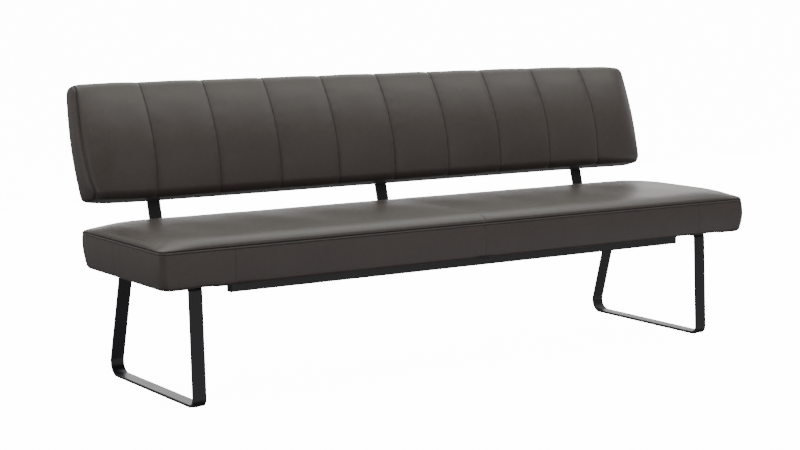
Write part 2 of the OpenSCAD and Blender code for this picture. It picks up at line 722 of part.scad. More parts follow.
// Button-head screw that points up, with its head's seat at the origin
module button_screw(diameter, length) {
  head_radius = seat_head_diameter / 2;
  dome_radius = (head_radius * head_radius + seat_head_height * seat_head_height) / (2 * seat_head_height);
  difference() {
    union() {
      cylinder(d = diameter, h = length);
      intersection() {
        translate([0, 0, -seat_head_height]) cylinder(r = head_radius, h = seat_head_height);
        translate([0, 0, dome_radius - seat_head_height]) sphere(r = dome_radius + 0.6);
      }
    }
    translate([0, 0, -seat_head_height - cut])
      cylinder(d = diameter * 0.65, h = cut + seat_head_height * 0.6, $fn = 6);
  }
}
module screws_at(places, level, length) {
  color(zinc_colour) for (p = places) translate([p.x, p.y, level]) button_screw(seat_screw_diameter, length);
}
module sled_screws() { screws_at(sled_screw_places, bar_bottom, bar_screw_length); }
module support_screws() { screws_at(support_screw_places, bar_bottom, bar_screw_length); }
module rail_screws() { screws_at(rail_screw_places, rail_roof, rail_screw_length); }

// Tee nut with its flange at the origin and its barrel pointing down
module tee_nut(bore, barrel, flange, length) {
  difference() {
    union() {
      translate([0, 0, -tee_flange_thickness]) cylinder(d = flange, h = tee_flange_thickness);
      translate([0, 0, -length]) cylinder(d = barrel, h = length);
    }
    translate([0, 0, -length - cut]) cylinder(d = bore, h = length + 2 * cut);
  }
}
module seat_tee_nuts() {
  color(zinc_colour) for (p = seat_screw_places) translate([p.x, p.y, timber_top])
    tee_nut(seat_screw_diameter + 2 * thread_clearance, tee_barrel_diameter, tee_flange_diameter,
      tee_barrel_length + tee_flange_thickness);
}
module back_tee_nuts() {
  color(zinc_colour) on_back() for (p = back_screw_places)
    translate([p.x, -board_depth - board_thickness, p.y]) rotate([90, 0, 0])
    tee_nut(back_screw_diameter + 2 * thread_clearance, back_tee_barrel, back_tee_flange,
      board_thickness - 2);
}
module back_screws() {
  color(zinc_colour) on_back() for (p = back_screw_places)
    translate([p.x, -bar_depth, p.y]) rotate([90, 0, 0]) difference() {
      union() {
        cylinder(d1 = back_head_diameter, d2 = back_screw_diameter, h = back_head_height);
        cylinder(d = back_screw_diameter, h = back_screw_length);
      }
      translate([0, 0, -cut]) cylinder(d = back_screw_diameter * 0.65, h = cut + back_head_height * 0.6, $fn = 6);
    }
}

left_sled();
right_sled();
left_front_glide();
left_rear_glide();
right_front_glide();
right_rear_glide();
left_back_support();
middle_back_support();
right_back_support();
front_rail();
front_rail_left_cap();
front_rail_right_cap();
rear_rail();
rear_rail_left_cap();
rear_rail_right_cap();
seat_front_beam();
seat_rear_beam();
seat_left_end_board();
seat_right_end_board();
seat_left_cross_board();
seat_middle_cross_board();
seat_right_cross_board();
seat_webbing();
seat_foam();
seat_cover();
seat_lining();
back_board();
back_foam();
back_rear_pad();
back_cover();
sled_screws();
support_screws();
rail_screws();
seat_tee_nuts();
back_screws();
back_tee_nuts();
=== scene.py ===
"""Upholstered bench: its looks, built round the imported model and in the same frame.

The front faces -Y and +Z points up. Shapes are worked out in millimetres and turned into metres
when their mesh is made. Places and sizes follow the part's source, and the fabric stands out or sinks
in by a few millimetres more where it is sewn and stuffed.
"""
import math

import bmesh
import bpy
import numpy as np
from mathutils import Matrix


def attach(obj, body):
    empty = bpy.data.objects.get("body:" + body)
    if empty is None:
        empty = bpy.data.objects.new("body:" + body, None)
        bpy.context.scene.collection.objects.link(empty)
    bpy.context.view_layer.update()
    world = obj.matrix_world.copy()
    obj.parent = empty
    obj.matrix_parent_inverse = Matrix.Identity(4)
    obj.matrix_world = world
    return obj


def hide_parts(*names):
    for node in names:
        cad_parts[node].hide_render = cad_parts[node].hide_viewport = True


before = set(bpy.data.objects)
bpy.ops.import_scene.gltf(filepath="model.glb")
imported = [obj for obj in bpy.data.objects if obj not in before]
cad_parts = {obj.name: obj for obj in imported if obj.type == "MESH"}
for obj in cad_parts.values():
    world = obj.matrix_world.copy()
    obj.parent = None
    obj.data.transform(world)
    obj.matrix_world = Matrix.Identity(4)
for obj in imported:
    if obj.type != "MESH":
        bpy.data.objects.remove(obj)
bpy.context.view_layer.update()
scene = bpy.context.scene

MM = 0.001
SHARP_ANGLE = math.radians(50)
LEAST_GAP = 0.35
BESIDE_SEAM = (0.7, 1.4, 2.2, 3.2, 4.5, 6.5, 9.5, 14)

# Seat, with the lengths of the part's source. The sewn corners are tighter and the leather is thinner.
SEAT_LENGTH = 2211
SEAT_DEPTH = 537
SEAT_FRONT = -341.96
UNDERSIDE = 358
BOXING_HEIGHT = 109
CROWN_HEIGHT = 30
CROWN_WIDTH = 80
CROWN_POWER = 2.5
DOME = 3
CORNER_PULL = 0.55
CORNER_PULL_REACH = 60
CORNER_RADIUS = 21
SIDE_BULGE = 3.5
END_DRAW = 8
FRONT_DRAW = 2
REAR_DRAW = 16
LOWER_EDGE_RADIUS = 9
COVER_THICKNESS = 2.2
SEAM_ALLOWANCE = 1.4
FIT_GAP = 0.3
TURNED_EDGE = 42
FLAT_INSET = 26
STAPLE_INSET = 36
STAPLE_PITCH = 45
STAPLE_LENGTH = 11
STAPLE_THICKNESS = 0.9
LINING_THICKNESS = 1.4
LINING_GAP = 0.4
LINING_SAG = 0.35
CLOTH_THICKNESS = 0.45
FOAM_DEPTH = 3
SEAM_HEIGHT = UNDERSIDE + BOXING_HEIGHT
SEAT_REAR = SEAT_FRONT + SEAT_DEPTH
FRAME_INSET = 31
FOAM_RECESS_TOP = 406

# Sewing on the seat, measured from the top seam or along the bench
WELT_WIDTH = 7
FRONT_SEAMS = (-872, 8, 900)
END_SEAM = -46
STRIP_REACH = 60
STITCH_PITCH = 4.6
STITCH_LENGTH = 3.2
STITCH_THICKNESS = 0.75
STITCH_RISE = 0.3
SEWN_END = 118
SEWN_FADE = 18
UNSEWN = -120.0
# Grooves, as pairs of depth and width
TOP_GROOVE = ((2.6, 1.4),)
STITCH_GROOVE = ((1.0, 1.1),)
SIDE_GROOVES = ((0.3, 1.6), (0.3, 8))
END_GROOVES = ((0.25, 1.6), (0.25, 9))
MIDDLE_GROOVES = ((0.5, 1.8), (0.9, 16))
BACK_END_GROOVES = ((1.2, 1.8), (1.2, 8))
REAR_SEAM_WIDTH = 1.6
HEAD_SEAM_DEPTH = 1.0
FOOT_SEAM_DEPTH = 0.8
REAR_SEAM_INSET = 4
WELT_RISE = 0.9
GATHER_RISE = 0.55
BROAD_WAVE = 0.9
SIDE_WAVE = 0.5
CORNER_FULLNESS = 5
REAR_CORNER_DIP = 2.4
RIM_FULLNESS = 2.5

# Back cushion, in its own frame of depth and height along the lean. It has the lengths of the part's
# source, with fuller ends. A pair holds one length for the left end and one for the right end.
BACK_LENGTH = 2145
BACK_HEIGHT = 360
BACK_LEAN = math.radians(16)
BACK_FOOT = (248.98, 535)
FULL_DEPTH = 125
FULLEST_HEIGHT = 146
FRONT_CURVE_RADIUS = 500
CHANNELS = 10
OUTER_CHANNEL = 205
CHANNEL_PUFF = 8
END_DEPTH_LOW = 96
END_DEPTH_HIGH = 70
END_SWELL = 90
END_BULGE = 9.5
END_ROUNDING = 34
END_BOW = (8, 1.5)
HEAD_FLARE = (0, 8)
SEAM_SWAY = (2, 0)
FOOT_SWEEP = (10, 0)
SWEEP_HEIGHT = 40
BOW_REACH = 60
HEAD_DROP = (1, 10)
DROP_REACH = (40, 150)
FOOT_RISE = (9, -3.5)
RISE_REACH = (75, 80)
REAR_CORNER_REACH = 80
HEAD_FULLNESS = 4
FOOT_FULLNESS = 3
LOW_RADIUS = 27
HIGH_RADIUS = 29
REAR_RADIUS = 10
BOARD_DEPTH = 11
BOARD_THICKNESS = 12
BAR_DEPTH = 3
BAR_WIDTH = 42
SLOT_GAP = 0.5
SUPPORTS = (-840, 0, 840)
SLED_PLACE = 966.5
BARS = np.array([-SLED_PLACE, *SUPPORTS, SLED_PLACE])
HALF = BACK_LENGTH / 2
INNER_HALF = HALF - OUTER_CHANNEL
CHANNEL_PITCH = 2 * INNER_HALF / (CHANNELS - 2)
CHANNEL_SEAMS = INNER_HALF - CHANNEL_PITCH * np.arange(CHANNELS - 1)
CREASE_RISE = 5
CREASE_WIDTH = 8.5
REAR_FULLNESS = 4
REAR_CORNER_SOFTNESS = 3
CLOTH_RISE = 2
BACK_GATHER = 0.45
BACK_WAVE = 0.5


def bump(distance, width):
    """A soft bell: 1 at distance 0, falling to about a third at one width."""
    return np.exp(-(distance / width) ** 2)


def grooves(distance, pairs):
    """Lift of a seam's grooves at a distance from it: the sum of bells that each have a depth and a width."""
    return -sum(depth * bump(distance, width) for depth, width in pairs)


def ease(share):
    """0 up to share 0 and 1 from share 1 on, with a smooth rise between."""
    held = np.clip(share, 0, 1)
    return held * held * (3 - 2 * held)


def ripple(place, lengths, seed):
    """Sum of sine waves of the given lengths with seeded phases, between about -1 and 1."""
    phases = np.random.default_rng(seed).uniform(0, 2 * np.pi, len(lengths))
    waves = [np.sin(2 * np.pi * place / length + phase) for length, phase in zip(lengths, phases)]
    return np.sum(waves, axis=0) / len(lengths) ** 0.5


def uneven_ripple(place, lengths, broad_place, broad_lengths, seed):
    """Short waves that are stronger in some places than in others, as broad waves tell."""
    return ripple(place, lengths, seed) * (0.6 + 0.4 * ripple(broad_place, broad_lengths, seed + 2))


def spread(length, step, seams):
    """Places from 0 to a length, about a step apart and crowded on both sides of each seam."""
    even = np.linspace(0, length, round(length / step) + 1)
    offsets = np.array([0.0, *BESIDE_SEAM, *(-b for b in BESIDE_SEAM)])
    crowd = (np.asarray(seams, float)[:, None] + offsets).ravel()
    crowd = crowd[(crowd > 0) & (crowd < length)]
    if len(crowd):
        far = np.abs(even[:, None] - crowd).min(axis=1) > 0.35 * step
        far[[0, -1]] = True
        even = even[far]
    return np.unique(np.concatenate([even, crowd]))


def unit(vectors):
    """Vectors scaled to length 1."""
    return vectors / np.linalg.norm(vectors, axis=-1, keepdims=True)


def outward(points):
    """Unit normals of a grid of points: the cross product of its two directions of travel."""
    along = np.roll(points, -1, axis=1) - np.roll(points, 1, axis=1)
    across = np.gradient(points, axis=0)
    normal = np.cross(along, across)
    length = np.linalg.norm(normal, axis=2, keepdims=True)
    return np.where(length > 1e-6, normal / np.maximum(length, 1e-6), 0)


def grid_quads(rows, columns, closed=True):
    """Quads of a grid, turned outwards for rows that go up. Closed, its last column meets its first."""
    steps = columns if closed else columns - 1
    i, j = np.meshgrid(np.arange(rows - 1), np.arange(steps), indexing="ij")
    k = (j + 1) % columns
    low, high = i * columns, (i + 1) * columns
    return np.stack([low + j, low + k, high + k, high + j], axis=2).reshape(-1, 4)


def make_mesh(name, points, quads, marks=None, weld=True):
    """A mesh object from points in millimetres and quads, with doubled points welded.

    marks holds named numbers for each point, which materials read as attributes.
    """
    mesh = bpy.data.meshes.new(name)
    mesh.from_pydata((np.asarray(points).reshape(-1, 3) * MM).tolist(), [], np.asarray(quads).tolist())
    for mark, values in (marks or {}).items():
        attribute = mesh.attributes.new(mark, "FLOAT", "POINT")
        attribute.data.foreach_set("value", np.asarray(values, np.float32).ravel())
    if weld:
        work = bmesh.new()
        work.from_mesh(mesh)
        bmesh.ops.remove_doubles(work, verts=work.verts, dist=1e-6)
        bmesh.ops.dissolve_degenerate(work, edges=work.edges, dist=1e-7)
        work.to_mesh(mesh)
        work.free()
    mesh.polygons.foreach_set("use_smooth", np.ones(len(mesh.polygons), bool))
    mesh.set_sharp_from_angle(angle=SHARP_ANGLE)
    piece = bpy.data.objects.new(name, mesh)
    scene.collection.objects.link(piece)
    return piece


def grid_mesh(name, points, marks=None):
    """The mesh of one closed grid of points."""
    return make_mesh(name, points, grid_quads(*points.shape[:2]), marks)


def dress(piece, slot, *nodes, material=None):
    """Gives a piece the material of its slot or the given material, lets it ride, and hides the nodes that it
    stands for.
    """
    piece.data.materials.append(material or finishes[slot])
    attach(piece, "root")
    if nodes:
        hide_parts(*nodes)
    return piece


# Leather under tension, as a short cloth simulation on a coarse sheet

CLOTH_FRAMES = 20
CLOTH_SETTINGS = {
    "vertex_group_mass": "held", "quality": 6, "mass": 0.4, "tension_stiffness": 15,
    "compression_stiffness": 15, "shear_stiffness": 8, "bending_stiffness": 2, "air_damping": 4,
    "shrink_min": -0.004, "use_pressure": True, "uniform_pressure_force": 4}
UNEVENNESS = 0.5
CROWN_RISE = 2.4


def settled(name, sheet, pinned, most, seed):
    """How far each point of a leather sheet moves outwards when the foam presses it from within.

    The sheet is an open grid of points, slightly uneven as sewn leather is, and held at its pinned
    points. The moves along the normals are scaled so that the largest is the given length.
    """
    normals = unit(np.cross(np.gradient(sheet, axis=1), np.gradient(sheet, axis=0)))
    uneven = np.random.default_rng(seed).normal(0, UNEVENNESS, sheet.shape[:2]) * ~pinned
    start = sheet + normals * uneven[..., None]
    piece = make_mesh(name, start, grid_quads(*sheet.shape[:2], closed=False), weld=False)
    held = piece.vertex_groups.new(name="held")
    held.add(np.flatnonzero(pinned).tolist(), 1.0, "REPLACE")
    cloth = piece.modifiers.new("press", "CLOTH")
    for key, value in CLOTH_SETTINGS.items():
        setattr(cloth.settings, key, value)
    cloth.settings.effector_weights.gravity = 0
    cloth.collision_settings.use_collision = False
    cloth.point_cache.frame_start = 1
    cloth.point_cache.frame_end = CLOTH_FRAMES
    for frame_number in range(1, CLOTH_FRAMES + 1):
        scene.frame_set(frame_number)
    shape = piece.evaluated_get(bpy.context.evaluated_depsgraph_get()).data
    places = np.empty(sheet.size, np.float32)
    shape.vertices.foreach_get("co", places)
    scene.frame_set(1)
    bpy.data.meshes.remove(piece.data)
    moves = ((places.reshape(sheet.shape) / MM - sheet) * normals).sum(axis=2)
    return moves * most / np.abs(moves).max()


def spline(distance):
    """Cubic B-spline: a smooth bump that is 2/3 at distance 0 and reaches 0 at distance 2."""
    t = np.abs(distance)
    return np.where(t < 1, 2 / 3 - t ** 2 + t ** 3 / 2, np.clip(2 - t, 0, 1) ** 3 / 6)


def carried(moves, rows, columns):
    """Moves of a coarse grid at places between its points, smoothed by cubic B-spline weights."""
    last_row, last_column = np.array(moves.shape) - 1
    total = 0
    for step, other in np.ndindex(4, 4):
        row, column = np.floor(rows) + step - 1, np.floor(columns) + other - 1
        near = moves[np.clip(row, 0, last_row).astype(int), np.clip(column, 0, last_column).astype(int)]
        total = total + near * spline(rows - row) * spline(columns - column)
    return total


# Seat: rings round a rounded rectangle, from the turned-under edge over the side and the crown

def seat_columns(step, seams=FRONT_SEAMS, end_seam=END_SEAM, arc_steps=9):
    """Columns of the seat's plan as rows of (arc before, arc after, angle, share).

    A column in a corner has share 0. One on a straight side lies a share of the way between two corners.
    """
    straight = SEAT_LENGTH - 2 * CORNER_RADIUS
    front = spread(straight, step, [x + straight / 2 for x in seams])[1:-1] / straight
    short = SEAT_DEPTH - 2 * CORNER_RADIUS
    left = spread(short, step, [SEAT_REAR - CORNER_RADIUS - end_seam])[1:-1] / short
    rows = []
    for corner, shares in enumerate([1 - left[::-1], 1 - front[::-1], left, front]):
        start = 90.0 * (corner - 1)
        bend = np.linspace(start, start + 90, arc_steps)
        for angle, share in ((bend, 0 * bend), (start + 90, shares)):
            rows.append(np.stack(np.broadcast_arrays(corner, (corner + 1) % 4, angle, share), axis=1))
    return np.concatenate(rows)


def seat_plan(columns, inset, radius, draws=(0, 0, 0)):
    """Ring points in plan at insets: a straight share between points on two corner arcs.

    Draws are how much further in the ends, the front and the rear lie.
    """
    radius = np.asarray(radius, float)[..., None]
    end, front, rear = ((inset + draw)[:, None] for draw in draws)
    x_centre = (SEAT_LENGTH / 2 - end - radius) * np.array([1, 1, -1, -1])
    y_centre = np.where([True, False, False, True], SEAT_FRONT + front + radius, SEAT_REAR - rear - radius)
    before, after = columns[:, :2].T.astype(int)
    angle, share = np.radians(columns[:, 2]), columns[:, 3]
    x = (1 - share) * x_centre[:, before] + share * x_centre[:, after] + radius * np.cos(angle)
    y = (1 - share) * y_centre[:, before] + share * y_centre[:, after] + radius * np.sin(angle)
    return x, y


def seat_side(columns, heights, depth=0.0, floor=0.0):
    """Side rings at heights above the underside: bulged at half height, drawn in and rounded below."""
    heights = np.asarray(heights, float)
    t = 1 - heights / BOXING_HEIGHT
    under = np.clip(LOWER_EDGE_RADIUS - (heights - floor), 0, LOWER_EDGE_RADIUS)
    rounding = LOWER_EDGE_RADIUS - np.sqrt(LOWER_EDGE_RADIUS ** 2 - under ** 2)
    inset = depth + rounding - SIDE_BULGE * 4 * t * (1 - t)
    draws = [draw * t * t for draw in (END_DRAW, FRONT_DRAW, REAR_DRAW)]
    x, y = seat_plan(columns, inset, CORNER_RADIUS - depth, draws)
    return np.stack([x, y, np.broadcast_to((UNDERSIDE + heights)[:, None], x.shape)], axis=2)


def from_edges(x, y):
    """Distances from the seat's nearest end and from its nearest long side."""
    return SEAT_LENGTH / 2 - np.abs(x), np.minimum(y - SEAT_FRONT, SEAT_REAR - y)


def crown_level(aside, across, inset):
    """Height of the crown: a superellipse rise from the seam that the corners pull down, and a low dome."""
    rest = 1 - np.minimum(inset / CROWN_WIDTH, 1)
    rise = (CROWN_HEIGHT - DOME) * (1 - rest ** CROWN_POWER) ** (1 / CROWN_POWER)
    pulled = 1 - CORNER_PULL * np.exp(-(aside ** 2 + across ** 2) / (2 * CORNER_PULL_REACH ** 2))
    return SEAM_HEIGHT + DOME * np.sin(np.pi * inset / SEAT_DEPTH) + rise * pulled


def seat_crown(columns, insets, depth=0.0):
    """Crown rings at distances in from the top seam."""
    radius = np.minimum(np.maximum(CORNER_RADIUS - depth - insets / 2, 8), SEAT_DEPTH / 2 - insets - depth)
    x, y = seat_plan(columns, insets + depth, np.maximum(radius, 0))
    return np.stack([x, y, crown_level(*from_edges(x, y), insets[:, None]) - depth], axis=2)


def seat_floor(columns, insets, level, corner=LOWER_EDGE_RADIUS):
    """Flat rings under the seat at distances in from the top seam's outline."""
    insets = np.asarray(insets, float)
    x, y = seat_plan(columns, insets, np.minimum(corner, SEAT_DEPTH / 2 - insets))
    return np.stack([x, y, np.full_like(x, level)], axis=2)


SEAM_STEPS = np.array([0.4, 0.9, 1.5, 2.3, 3.4, 5, 7, 9.5, 12.5, 16])


def seat_outside(columns):
    """Rings of the seat's outside, with each ring's distance from the top seam: below it negative."""
    below = np.array([0, 0.4, 0.9, 1.6, 2.6, 3.8, 5, 6, 6.6, 7, 7.4, 8, 9, 10.5, 13, 17, 23])
    wide = np.linspace(30, BOXING_HEIGHT - LOWER_EDGE_RADIUS, 9)
    edge = BOXING_HEIGHT - LOWER_EDGE_RADIUS * (1 - np.sin(np.radians([15, 30, 45, 60, 75, 90])))
    side = np.concatenate([below, wide, edge])[::-1]
    close = (SEAM_STEPS / (CROWN_HEIGHT - DOME)) ** (CROWN_POWER / 2)
    turns = np.concatenate([close, np.linspace(close[-1], np.pi / 2, 13)[1:]])
    insets = np.concatenate([CROWN_WIDTH * (1 - np.cos(turns) ** (2 / CROWN_POWER)),
                             np.linspace(CROWN_WIDTH, SEAT_DEPTH / 2, 15)[1:]])
    points = np.concatenate([
        seat_floor(columns, [TURNED_EDGE, 34, FLAT_INSET], UNDERSIDE),
        seat_side(columns, BOXING_HEIGHT - side),
        seat_crown(columns, insets)])
    beyond = insets[len(SEAM_STEPS):] + SEAM_STEPS[-1]
    return points, np.concatenate([np.full(3, UNSEWN), -side, SEAM_STEPS, beyond])


def seat_inside(columns, depth, floor):
    """Smooth rings at a depth inside the seat's outside, from its floor to the middle of the crown."""
    heights = np.concatenate([
        floor + LOWER_EDGE_RADIUS * (1 - np.cos(np.radians([0, 30, 60, 90]))),
        np.linspace(0.25, 1, 5)[:-1] * BOXING_HEIGHT, [BOXING_HEIGHT - depth - 2]])
    insets = np.concatenate([CROWN_WIDTH * np.array([0.02, 0.06, 0.13, 0.25, 0.44, 0.67, 1]),
                             [160, SEAT_DEPTH / 2 - depth]])
    return np.concatenate([
        seat_side(columns, heights, depth + SEAM_ALLOWANCE, floor),
        seat_crown(columns, insets, depth)])


def pressed_crown(points):
    """The crown's move under pressure at ring points: a coarse sheet held along the seams, carried over."""
    x = np.linspace(-SEAT_LENGTH / 2, SEAT_LENGTH / 2, 112)
    y = np.linspace(SEAT_FRONT, SEAT_REAR, 28)
    grid_x, grid_y = np.meshgrid(x, y)
    aside, across = from_edges(grid_x, grid_y)
    inset = np.minimum(aside, across)
    sheet = np.stack([grid_x, grid_y, crown_level(aside, across, inset)], axis=2)
    pinned = (inset < 1) | (np.abs(grid_x - FRONT_SEAMS[1]) < 8)
    moves = settled("crown_sheet", sheet, pinned, CROWN_RISE, 31)
    return carried(moves, np.interp(points[..., 1], y, np.arange(len(y))),
                   np.interp(points[..., 0], x, np.arange(len(x))))


def sewing_lift(points, reach, along):
    """How far the sewn seat stands out from its plain form, in millimetres.

    Grooves lie at the top seam and at the stitch row below it, with the folded welt raised between. Faint
    upright seams cross the sides, and one crosses the crown, where its pucker fades from the front edge.
    Gathers fade away from the top seam. The right corners are fuller, and the rear left corner dips.
    """
    x, y = points[..., 0], points[..., 1]
    s = reach[:, None]
    sewn = np.clip((s + 100) / 15, 0, 1)
    on_welt = (s + WELT_WIDTH / 2) / (WELT_WIDTH / 2)
    lift = grooves(s, TOP_GROOVE) + grooves(s + WELT_WIDTH, STITCH_GROOVE) + 0 * x
    lift += WELT_RISE * np.clip(1 - on_welt ** 4, 0, 1)
    gathers = uneven_ripple(along, (24, 31, 39, 53), along, (260, 410, 730), 3)
    fade = np.where(s > 0, np.exp(-s / 20), np.exp(s / 14))
    lift += GATHER_RISE * gathers * fade * (1 - bump(on_welt, 1))
    at_front = (y < SEAT_FRONT + STRIP_REACH) & (s < -WELT_WIDTH)
    for seam in FRONT_SEAMS:
        line = grooves(x - seam, SIDE_GROOVES) + 0.15 * bump(x - seam - 4.5, 2.5)
        lift += np.where(at_front, line * sewn, 0)
    at_end = (np.abs(x) > SEAT_LENGTH / 2 - STRIP_REACH) & (s < -WELT_WIDTH)
    lift += np.where(at_end, grooves(y - END_SEAM, END_GROOVES) * sewn, 0)
    pucker = grooves(x - FRONT_SEAMS[1], MIDDLE_GROOVES) * (0.4 + 1.4 * (1 - ease((s - 20) / 45)))
    lift += np.where(s > 1, pucker * np.clip((s - 1) / 6, 0, 1), 0)
    across = np.clip((y - SEAT_FRONT) / SEAT_DEPTH, 0, 1)
    broad = ripple(x + 0.3 * y, (540, 370, 233), 7) * np.sin(np.pi * across)
    lift += BROAD_WAVE * broad * np.clip(s / 60, 0, 1)
    lift += SIDE_WAVE * ripple(along, (310, 190, 137), 9) * bump(s + BOXING_HEIGHT / 2, 32)
    from_corner = np.hypot(*from_edges(x, y))
    lift += CORNER_FULLNESS * bump(from_corner, 50) * bump(s + 65, 50) * (x > 0)
    rear_left = (x < 0) & (y > SEAT_FRONT + SEAT_DEPTH / 2)
    lift -= REAR_CORNER_DIP * bump(from_corner, 95) * ease(s / 12) * rear_left
    return lift * np.clip((s + SEWN_END) / SEWN_FADE, 0, 1)


def distance_round(path):
    """Distance gone at each point of a closed path, and once round it."""
    return np.concatenate([[0], np.cumsum(np.linalg.norm(np.roll(path, -1, axis=0) - path, axis=1))])


def seat_marks(outside, reach):
    """How dark the seams are, with painted shade in their grooves, and how much lighter the leather is, from
    wear on the welt and a painted highlight band on the crown just behind the top seam, for every point of
    the seat's outside.
    """
    x, y = outside[..., 0], outside[..., 1]
    s = np.broadcast_to(reach[:, None], x.shape)
    beside = np.abs(x[..., None] - np.array(FRONT_SEAMS)).min(axis=2)
    sides = (s < -WELT_WIDTH) & (y < SEAT_FRONT + STRIP_REACH)
    middle = (s > 0) & (np.abs(x - FRONT_SEAMS[1]) < 20)
    # Dark seam lines with painted shade in their grooves; on the middle seam the painted shade is strongest
    # near the front edge and fades rearwards
    shade = 0.1 + 0.5 * (1 - ease((s - 15) / 35))
    seam = np.maximum.reduce([
        bump(s, 1.9), 0.55 * bump(s + WELT_WIDTH, 1.3), np.where(sides, 0.3 * bump(beside, 2.4), 0),
        np.where(middle, shade * bump(beside, 3), 0)])
    # The second mark is wear on the welt and a painted highlight band on the crown about 9 mm behind the top
    # seam
    return seam, np.maximum(bump(s + WELT_WIDTH / 2, 3), 0.6 * bump(s - 9, 9))


def seat_cover():
    """The sewn leather cover: one closed shell that starts and ends at the middle of the crown."""
    columns = seat_columns(8)
    outside, reach = seat_outside(columns)
    along = distance_round(outside[np.argmin(np.abs(reach))])[:-1]
    lift = sewing_lift(outside, reach, along) + np.where(reach[:, None] > 0, pressed_crown(outside), 0)
    normals = outward(outside)
    normals[-1] = (0, 0, 1)
    sewn = outside + normals * lift[..., None]
    from_rim = np.minimum(*from_edges(sewn[..., 0], sewn[..., 1]))
    from_bars = np.abs(sewn[..., :1] - BARS).min(axis=2) - BAR_WIDTH / 2
    sag = RIM_FULLNESS * bump(from_rim - 8, 10) * ease((from_bars - 2) / 20)
    sewn[..., 2] -= sag * ease((UNDERSIDE + 40 - sewn[..., 2]) / 40)
    sewn[-1, :, 1] = (SEAT_FRONT + SEAT_REAR) / 2
    inside = np.concatenate([
        seat_floor(columns, [TURNED_EDGE, FLAT_INSET], UNDERSIDE + LINING_THICKNESS),
        seat_inside(columns, COVER_THICKNESS, LINING_THICKNESS)])[::-1]
    hidden = np.zeros(inside.shape[:2])
    seam, rub = (np.concatenate([hidden, mark]) for mark in seat_marks(outside, reach))
    piece = grid_mesh("seat_cover_sewn", np.concatenate([inside, sewn]), {"seam": seam, "rub": rub})
    return piece, sewn, normals, reach


def seat_foam():
    """Foam under the seat cover: the cover's form at a depth, hollowed for the timber frame."""
    columns = seat_columns(40, (), (SEAT_FRONT + SEAT_REAR) / 2, 5)
    wall = FRAME_INSET - FIT_GAP
    hollow = np.concatenate([seat_floor(columns, [wall], UNDERSIDE + 2, 1),
                             seat_floor(columns, [wall, SEAT_DEPTH / 2], FOAM_RECESS_TOP, 0.01)])
    return grid_mesh("seat_foam_block", np.concatenate([hollow[::-1], seat_inside(columns, FOAM_DEPTH, 2)]))


def lining():
    """Thin cloth stretched across the underside: two sheets of a grid, faintly wrinkled and joined."""
    inset = TURNED_EDGE + LINING_GAP
    x = np.linspace(inset - SEAT_LENGTH / 2, SEAT_LENGTH / 2 - inset, 181)
    y = np.linspace(SEAT_FRONT + inset, SEAT_REAR - inset, 41)
    end = np.ones(len(y) - 2)
    side = np.ones(len(x))
    rim_x = np.concatenate([x, end * x[-1], x[::-1], end * x[0]])
    rim_y = np.concatenate([side * y[0], y[1:-1], side * y[-1], y[-2:0:-1]])
    pull = np.linspace(1, 0, 9)[:, None]
    middle = (y[0] + y[-1]) / 2
    ridge = x[-1] - (y[-1] - y[0]) / 2
    ring_x = rim_x * (1 - (1 - pull) * (1 - ridge / x[-1]))
    ring_y = middle + (rim_y - middle) * pull
    wrinkle = LINING_SAG / 2 * (1 + ripple(ring_x + 0.2 * ring_y, (61, 97, 149), 11))
    low = np.stack([ring_x, ring_y, UNDERSIDE + 0.1 + wrinkle * np.sin(np.pi * (1 - pull) / 2)], axis=2)
    high = low + (0, 0, CLOTH_THICKNESS)
    return grid_mesh("underside_lining", np.concatenate([high[::-1], low])[:, ::-1])


# Back cushion: sections along the bench, each a loop of stations round its depth and height

def front_depth(h, fullness):
    """Depth of the front at a height: between a straight end edge and a circular curve."""
    edge = END_DEPTH_LOW + (END_DEPTH_HIGH - END_DEPTH_LOW) * h / BACK_HEIGHT
    full = FULL_DEPTH - (h - FULLEST_HEIGHT) ** 2 / (2 * FRONT_CURVE_RADIUS)
    return edge + (full - edge) * fullness


def front_angle(h, fullness):
    """Angle of the front's outward normal above the depth axis."""
    return -np.arctan(front_depth(h + 0.5, fullness) - front_depth(h - 0.5, fullness))


def stations(depth, height, angle, share):
    """Stations of a section as (depth, height, angle of the outward normal, share of the puff)."""
    return np.stack(np.broadcast_arrays(depth, height, angle, share), axis=-1)


def arc(depth, height, radius, start, end, t, share):
    """Stations on an arc round a centre."""
    angle = start + (end - start) * t
    return stations(depth + radius * np.cos(angle), height + radius * np.sin(angle), angle, share)


